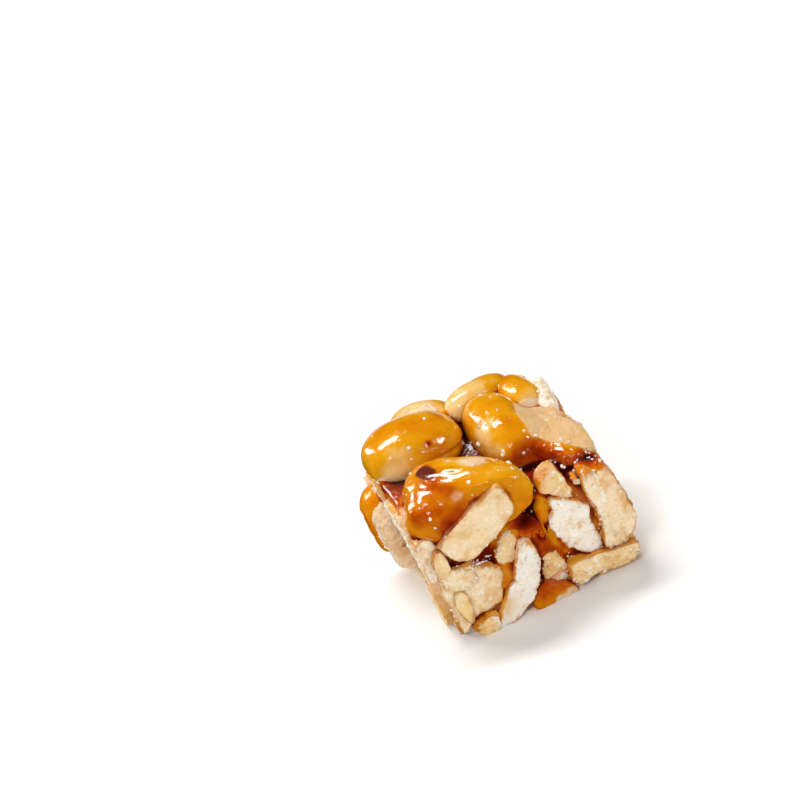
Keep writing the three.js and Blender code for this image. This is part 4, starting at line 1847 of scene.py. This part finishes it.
@dataclass(frozen=True)
class Strewn:
    """Grains strewn over the surface by Geometry Nodes, all of one kind in one piece.

    density is grains for each square millimetre where the ground's weight is 1; size runs from the
    smallest to the largest grain's width in millimetres, and a higher rarity makes large ones rarer.
    least is a grain's least side against that width, squash its height against its sides and jag the
    height of its knobs in millimetres. It is tipped and turned by up to spin, in radians.
    """

    name: str
    slot: str
    powder: Powder
    density: float
    size: Pair
    squash: float
    fineness: int
    jag: float
    seed: int
    rarity: float = 1.8
    least: float = 0.6
    spin: Vec3 = (0.7, 0.7, 6.28)

    def tree(self, material: bpy.types.Material) -> bpy.types.NodeTree:
        """Return the node tree that turns the ground into its grains.

        Args:
            material: What the grains are made of.

        Returns:
            The tree, with the inputs Density, Smallest, Largest, Squash and Jag.
        """
        tree = bpy.data.node_groups.new(self.name, "GeometryNodeTree")
        tree.interface.new_socket("Geometry", in_out="INPUT", socket_type="NodeSocketGeometry")
        for key in ("Density", "Smallest", "Largest", "Squash", "Jag"):
            tree.interface.new_socket(key, in_out="INPUT", socket_type="NodeSocketFloat")
        tree.interface.new_socket("Geometry", in_out="OUTPUT", socket_type="NodeSocketGeometry")
        given = add(tree, "NodeGroupInput").outputs
        weight = add(tree, "GeometryNodeInputNamedAttribute", {"Name": "weight"}, data_type="FLOAT")
        thick = add(tree, MATH, {0: weight, 1: given["Density"]}, operation="MULTIPLY")
        spots = add(
            tree,
            "GeometryNodeDistributePointsOnFaces",
            {"Mesh": given["Geometry"], "Density": thick, "Seed": self.seed},
        )
        grain = add(tree, "GeometryNodeMeshIcoSphere", {"Radius": 0.5, "Subdivisions": self.fineness})
        chance = add(tree, "FunctionNodeRandomValue", {"Seed": self.seed + 1})
        rare = add(tree, MATH, {0: chance, 1: self.rarity}, operation="POWER")
        width = add(tree, RANGE, {0: rare, 3: given["Smallest"], 4: given["Largest"]})
        ratios, spin = (
            add(tree, "FunctionNodeRandomValue", {0: low, 1: high}, data_type="FLOAT_VECTOR")
            for low, high in (((self.least,) * 3, (1, 1, 1)), ((0, 0, 0), self.spin))
        )
        flat = add(tree, "ShaderNodeCombineXYZ", {0: 1.0, 1: 1.0, 2: given["Squash"]})
        shape = add(tree, VECTOR, {0: ratios, 1: flat}, operation="MULTIPLY")
        shape = add(tree, VECTOR, {0: shape, "Scale": width}, operation="SCALE")
        tipped = {0: spots.outputs["Rotation"], 1: spin}
        turned = add(tree, "FunctionNodeRotateRotation", tipped, rotation_space="LOCAL")
        placed = add(
            tree,
            "GeometryNodeInstanceOnPoints",
            {"Points": spots, "Instance": grain, "Rotation": turned, "Scale": shape},
        )
        real = add(tree, "GeometryNodeRealizeInstances", {0: placed})
        knobs = add(tree, NOISE, {"Scale": per_metre(self.size[1] / 2), "Detail": 1}, noise_dimensions="3D")
        around = add(tree, VECTOR, {0: knobs.outputs["Color"], 1: (0.5,) * 3}, operation="SUBTRACT")
        shift = add(tree, VECTOR, {0: around, "Scale": given["Jag"]}, operation="SCALE")
        jagged = add(tree, "GeometryNodeSetPosition", {"Geometry": real, "Offset": shift})
        clad = add(tree, "GeometryNodeSetMaterial", {"Geometry": jagged, "Material": material})
        add(tree, "NodeGroupOutput", {0: clad})
        return tree

    def strew(self, ground: Shell) -> bpy.types.Object:
        """Make the grains.

        Args:
            ground: The surface that they lie on, with the number weight.

        Returns:
            The piece.
        """
        material = self.powder.build()
        base = ground.to_object(f"{self.name}_ground", material)
        modifier = base.modifiers.new(self.name, "NODES")
        modifier.node_group = self.tree(material)
        values = {
            "Density": self.density / MM**2,
            "Smallest": self.size[0] * MM,
            "Largest": self.size[1] * MM,
            "Squash": self.squash,
            "Jag": self.jag * MM,
        }
        for item in modifier.node_group.interface.items_tree:
            if item.in_out == "INPUT" and item.name in values:
                modifier[item.identifier] = values[item.name]
        evaluated = base.evaluated_get(bpy.context.evaluated_depsgraph_get())
        mesh = bpy.data.meshes.new_from_object(evaluated)
        base.modifiers.remove(modifier)
        bpy.data.objects.remove(base)
        mesh.name = self.name
        made = bpy.data.objects.new(self.name, mesh)
        bpy.context.scene.collection.objects.link(made)
        return made


# Sugar specks: partly real sugar crystals, partly painted glints on the glaze and the pool.
SUGAR_AND_GLINTS = Strewn(
    name="sugar_and_glint_specks",
    slot="coated_kernel",
    powder=Powder("sugar_and_glint_grains", "#fbf4ea", "#f3e2cc", 0.35),
    density=0.2,
    size=(0.2, 0.85),
    squash=0.6,
    fineness=2,
    jag=0.3,
    seed=11,
)
CRUMBS = Strewn(
    name="peanut_crumbs",
    slot="cut_kernel",
    powder=Powder("peanut_crumb", "#f6ecdb", "#e8c893", 0.7),
    density=18.0,
    size=(0.1, 0.62),
    squash=0.75,
    fineness=1,
    jag=0.2,
    seed=12,
)


# ---------------------------------------------------------------------------------------------
# Studio


@dataclass(frozen=True)
class SoftBox:
    """One rectangular light that faces the piece.

    towards is its direction from the piece, along the camera's right, up and back. size is its width
    and height and away its distance, in metres, and power is watts. in_shine and on_matt tell whether
    shiny surfaces mirror it and whether it lights matt ones.
    """

    name: str
    towards: Vec3
    size: Pair
    power: float
    away: float = 0.5
    in_shine: bool = True
    on_matt: bool = True


@dataclass(frozen=True)
class Studio:
    """A pale floor, soft light from above, behind and in front, and the camera.

    Angles are degrees. looks_at is a place on the piece, in millimetres, and shown_at the pixel of
    an image of 800 by 800 where it shows, scale pixels to a millimetre.
    """

    azimuth: float = -7.0
    elevation: float = 32.0
    roll: float = 21.0
    scale: float = 7.8
    distance: float = 450.0
    image: float = 800.0
    looks_at: Vec3 = (0.0, 0.0, 9.0)
    shown_at: Pair = (499.5, 503.3)
    sensor: float = 36.0
    clip: Pair = (0.01, 20.0)
    papers: tuple[str, str] = ("#f3f2f0", "#f7f6f4")
    paper_cloud: float = 3.0
    floor_half: float = 3.0
    air: float = 0.18
    boxes: tuple[SoftBox, ...] = (
        SoftBox("key_softbox", (-0.45, 0.84, 0.15), (0.3, 0.11), 1.95),
        SoftBox("left_strip", (-0.85, 0.35, -0.3), (0.08, 0.2), 0.6),
        SoftBox("right_softbox", (0.69, 0.31, 0.66), (0.08, 0.12), 0.6),
        SoftBox("front_fill", (-0.45, 0.12, 1.0), (0.3, 0.3), 2.75, 0.8, in_shine=False),
        SoftBox("rim_card", (0.0, 0.35, -1.0), (1.0, 0.4), 1.0, 0.9, on_matt=False),
        SoftBox("front_glint", (-0.1, 0.25, 1.0), (0.04, 0.07), 0.2, on_matt=False),
    )

    def axes(self) -> tuple[Array, Array, Array]:
        """Return the camera's right, up and backward directions."""
        turn, rise, roll = (math.radians(a) for a in (self.azimuth, self.elevation, self.roll))
        back = np.array([math.sin(turn) * math.cos(rise), -math.cos(turn) * math.cos(rise), math.sin(rise)])
        right = np.array([math.cos(turn), math.sin(turn), 0])
        up = np.cross(back, right)
        return (
            right * math.cos(roll) - up * math.sin(roll),
            right * math.sin(roll) + up * math.cos(roll),
            back,
        )

    def add_camera(self) -> None:
        """Make the camera and set it."""
        right, up, back = self.axes()
        aside, below = ((at - self.image / 2) / self.scale for at in self.shown_at)
        target = np.array(self.looks_at) - right * aside + up * below
        data = bpy.data.cameras.new("camera")
        data.sensor_fit = "HORIZONTAL"
        data.sensor_width = self.sensor
        data.lens = self.scale * self.distance * self.sensor / self.image
        data.clip_start, data.clip_end = self.clip
        place = BLOCK.to_part(target + back * self.distance)
        bpy.context.scene.camera = self.stand(data, (right, up, back), place)

    @staticmethod
    def stand(data: bpy.types.ID, axes: tuple[Array, Array, Array], place: Array) -> bpy.types.Object:
        """Stand a camera or a light in the scene.

        Args:
            data: The camera's or the light's data, whose name the object takes.
            axes: Its right, up and backward directions.
            place: Where, in metres.

        Returns:
            The new object.
        """
        made = bpy.data.objects.new(data.name, data)
        matrix = np.eye(4)
        matrix[:3, :3] = np.stack(axes, axis=1)
        matrix[:3, 3] = place
        made.matrix_world = Matrix(matrix.tolist())
        bpy.context.scene.collection.objects.link(made)
        return made

    def add_light(self, box: SoftBox) -> None:
        """Make one soft box, facing what the camera looks at.

        Args:
            box: The soft box.
        """
        right, up, back = self.axes()
        direction = box.towards[0] * right + box.towards[1] * up + box.towards[2] * back
        direction /= np.linalg.norm(direction)
        side = right - direction * (right @ direction)
        side /= np.linalg.norm(side)
        data = bpy.data.lights.new(box.name, "AREA")
        data.shape = "RECTANGLE"
        data.size, data.size_y = box.size
        data.energy = box.power
        place = direction * box.away + np.array(self.looks_at) * MM
        lamp = self.stand(data, (side, np.cross(direction, side), direction), place)
        lamp.visible_glossy = box.in_shine
        lamp.visible_diffuse = box.on_matt

    def add_floor(self) -> None:
        """Make the floor of white paper, matt and faintly uneven."""
        material, tree = new_material("white_paper")
        place = add(tree, "ShaderNodeTexCoord").outputs["Object"]
        noise = add(tree, NOISE, {"Vector": place, "Scale": self.paper_cloud, "Detail": 2})
        dark, light = (linear(paper) for paper in self.papers)
        colour = add(tree, MIX, {0: noise, 6: dark, 7: light}, **COLOURS)
        add(tree, OUTPUT, {"Surface": add(tree, BSDF, {"Base Color": colour, "Roughness": 0.7})})
        work = bmesh.new()
        bmesh.ops.create_grid(work, x_segments=8, y_segments=8, size=self.floor_half)
        mesh = bpy.data.meshes.new("floor")
        work.to_mesh(mesh)
        work.free()
        mesh.materials.append(material)
        floor = bpy.data.objects.new("floor", mesh)
        bpy.context.scene.collection.objects.link(floor)
        floor.visible_glossy = False
        floor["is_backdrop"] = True

    def build(self) -> None:
        """Make the whole studio."""
        self.add_camera()
        self.add_floor()
        for box in self.boxes:
            self.add_light(box)
        world = bpy.data.worlds.new("studio_air")
        world.use_nodes = True
        background = world.node_tree.nodes["Background"]
        background.inputs["Color"].default_value = linear("#ffffff")
        background.inputs["Strength"].default_value = self.air
        world.cycles_visibility.glossy = False
        bpy.context.scene.world = world
        bpy.context.scene.view_settings.view_transform = "Standard"


# ---------------------------------------------------------------------------------------------
# The whole piece of brittle


@dataclass
class NutBrittle:
    """The whole piece of brittle: kernels, crumbs and caramel.

    Sugar lies within sugar_and_glint_spread millimetres of a place on the plan, and thinly elsewhere. Crumbs lie
    along the rims of cut faces and in hollows, in clusters. Pairs are where a height under the top or
    over the floor, a depth behind the knife's plane, or a noise starts to tell and where it tells in
    full.
    """

    carver: KernelCarver = field(default_factory=KernelCarver)
    caramel: CaramelMatrix = field(default_factory=CaramelMatrix)
    sugar_and_glint_height: Pair = (-3.0, -0.5)
    sugar_and_glint_middle: Pair = (4.0, -3.5)
    sugar_and_glint_spread: float = 6.0
    sugar_and_glint_least: float = 0.25
    crumb_depth: Pair = (-2.4, -1.2)
    crumb_under: Pair = (0.0, -2.0)
    crumb_over: Pair = (0.3, 0.7)
    crumb_clusters: Pair = (-0.1, 0.6)
    crumb_cluster_pitch: float = 2.4
    crumb_hollows: Pair = (0.35, 0.6)
    crumb_hollow_share: float = 0.1
    crumb_rim_share: float = 1.3

    def groups(self) -> dict[str, KernelGroup]:
        """Return the pieces that are made of kernels, by the side that each lies on."""
        sides = RuleKernels().sides()
        return {
            "top": KernelGroup("top_kernels", "coated_kernel", TOP_KERNELS, small=8.2, seed=71),
            "front": KernelGroup("front_kernels", "cut_kernel", FRONT_KERNELS[:9], seed=72),
            "front_right": KernelGroup("front_right_kernels", "cut_kernel", FRONT_KERNELS[9:], seed=73),
            "left": KernelGroup("left_kernels", "cut_kernel", LEFT_KERNELS, small=6.5, seed=74),
            "right": KernelGroup("right_kernels", "cut_kernel", (*sides["right"], *RIGHT_EXTRA), seed=75),
            "back": KernelGroup("back_kernels", "cut_kernel", tuple(sides["back"]), seed=76),
            "bottom": KernelGroup("bottom_kernels", "cut_kernel", tuple(sides["bottom"]), level=5, seed=77),
        }

    def pieces(self) -> Iterator[tuple[bpy.types.Object, str]]:
        """Make the pieces one by one.

        Yields:
            Each piece with its slot.
        """
        groups = self.groups()
        for group in groups.values():
            group.carve(self.carver)
        for pair, blend, wrinkled in ((SPLIT_KERNEL, 2.6, 0.3), (FRONT_HALF, 1.8, 1.0)):
            groups["top"].keep(self.carver.fuse(pair, groups["top"].level, blend, wrinkled), BARE)
        coated = [shell for group in groups.values() for shell in group.of_finish(True)]
        others = [shell for group in groups.values() for shell in group.of_finish(False)]
        near = self.caramel.distances(coated + others)
        crumbs = Crumbs()
        for side in CUT_SIDES[1:]:
            group = groups[side]
            for bit in crumbs.kernels(side, near, self.caramel):
                group.keep(self.carver.carve(bit, crumbs.level), bit.finish)
        others = [shell for group in groups.values() for shell in group.of_finish(False)]
        poured = self.caramel.pour(coated, others)
        piece = poured.to_object(self.caramel.name, SetCaramel().build())
        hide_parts(NODE)
        yield piece, self.caramel.slot
        glazed = RoastedPeanut("glazed_peanut", coat=0.8).build()
        cut = RoastedPeanut("cut_peanut").build()
        for group in groups.values():
            yield group.dress(self.caramel, glazed if group.slot == "coated_kernel" else cut), group.slot
        shells = [poured, *(group.shell for group in groups.values())]
        grounds = [Ground.of(shell, self.caramel) for shell in shells]
        for strewn, weigh in ((SUGAR_AND_GLINTS, self.sugar_and_glint_weight), (CRUMBS, self.crumbed)):
            ground = Shell.joined([part.weighed(weigh(part)) for part in grounds])
            yield strewn.strew(ground), strewn.slot

    # Sugar specks, which also serve as painted glints.
    def sugar_and_glint_weight(self, ground: Ground) -> Array:
        """Weigh where sugar lies: on the open top, thickest over the middle and the pool.

        Args:
            ground: A piece that sugar may fall on.

        Returns:
            The weight at each of its points.
        """
        points = ground.shell.points
        high = smooth_step(*self.sugar_and_glint_height, points[:, 2] - BLOCK.top_height(points))
        away = ((points[:, :2] - np.array(self.sugar_and_glint_middle)) ** 2).sum(axis=1)
        middle = np.exp(-away / self.sugar_and_glint_spread**2)
        return ground.opened * high * (self.sugar_and_glint_least + middle)

    def crumbed(self, ground: Ground) -> Array:
        """Weigh where crumbs lie: on the cut sides, and most along rims and in their gaps.

        Args:
            ground: A piece that crumbs may cling to.

        Returns:
            The weight at each of its points.
        """
        points = ground.shell.points
        outside = np.max([BLOCK.beyond(side, points) for side in CUT_SIDES], axis=0)
        low = smooth_step(*self.crumb_under, points[:, 2] - BLOCK.top_height(points))
        above = smooth_step(*self.crumb_over, points[:, 2])
        noise = self.caramel.noise(points + CLUSTER_SHIFT, self.crumb_cluster_pitch)
        clusters = smooth_step(*self.crumb_clusters, noise)
        where = self.crumb_hollow_share * smooth_step(*self.crumb_hollows, ground.hollow)
        where += self.crumb_rim_share * np.sqrt(ground.edge)
        return ground.opened * low * above * smooth_step(*self.crumb_depth, outside) * where * clusters


def main() -> None:
    """Build the studio and the brittle, let each piece ride on the body and log it."""
    Studio().build()
    for piece, slot in NutBrittle().pieces():
        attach(piece, "root")
        LOG.info("%s: %d faces", piece.name, len(piece.data.polygons))


def write_sizes() -> None:
    """Measure the solid's box and the dressed piece's, in metres."""
    boxes = {"cad": CAD_BOX, "visual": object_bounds()}
    sizes = {key: [list(corner) for corner in box] for key, box in boxes.items()}


if __name__ == "__main__":
    logging.basicConfig(level=logging.INFO, format="%(name)s: %(message)s")
    main()
    write_sizes()
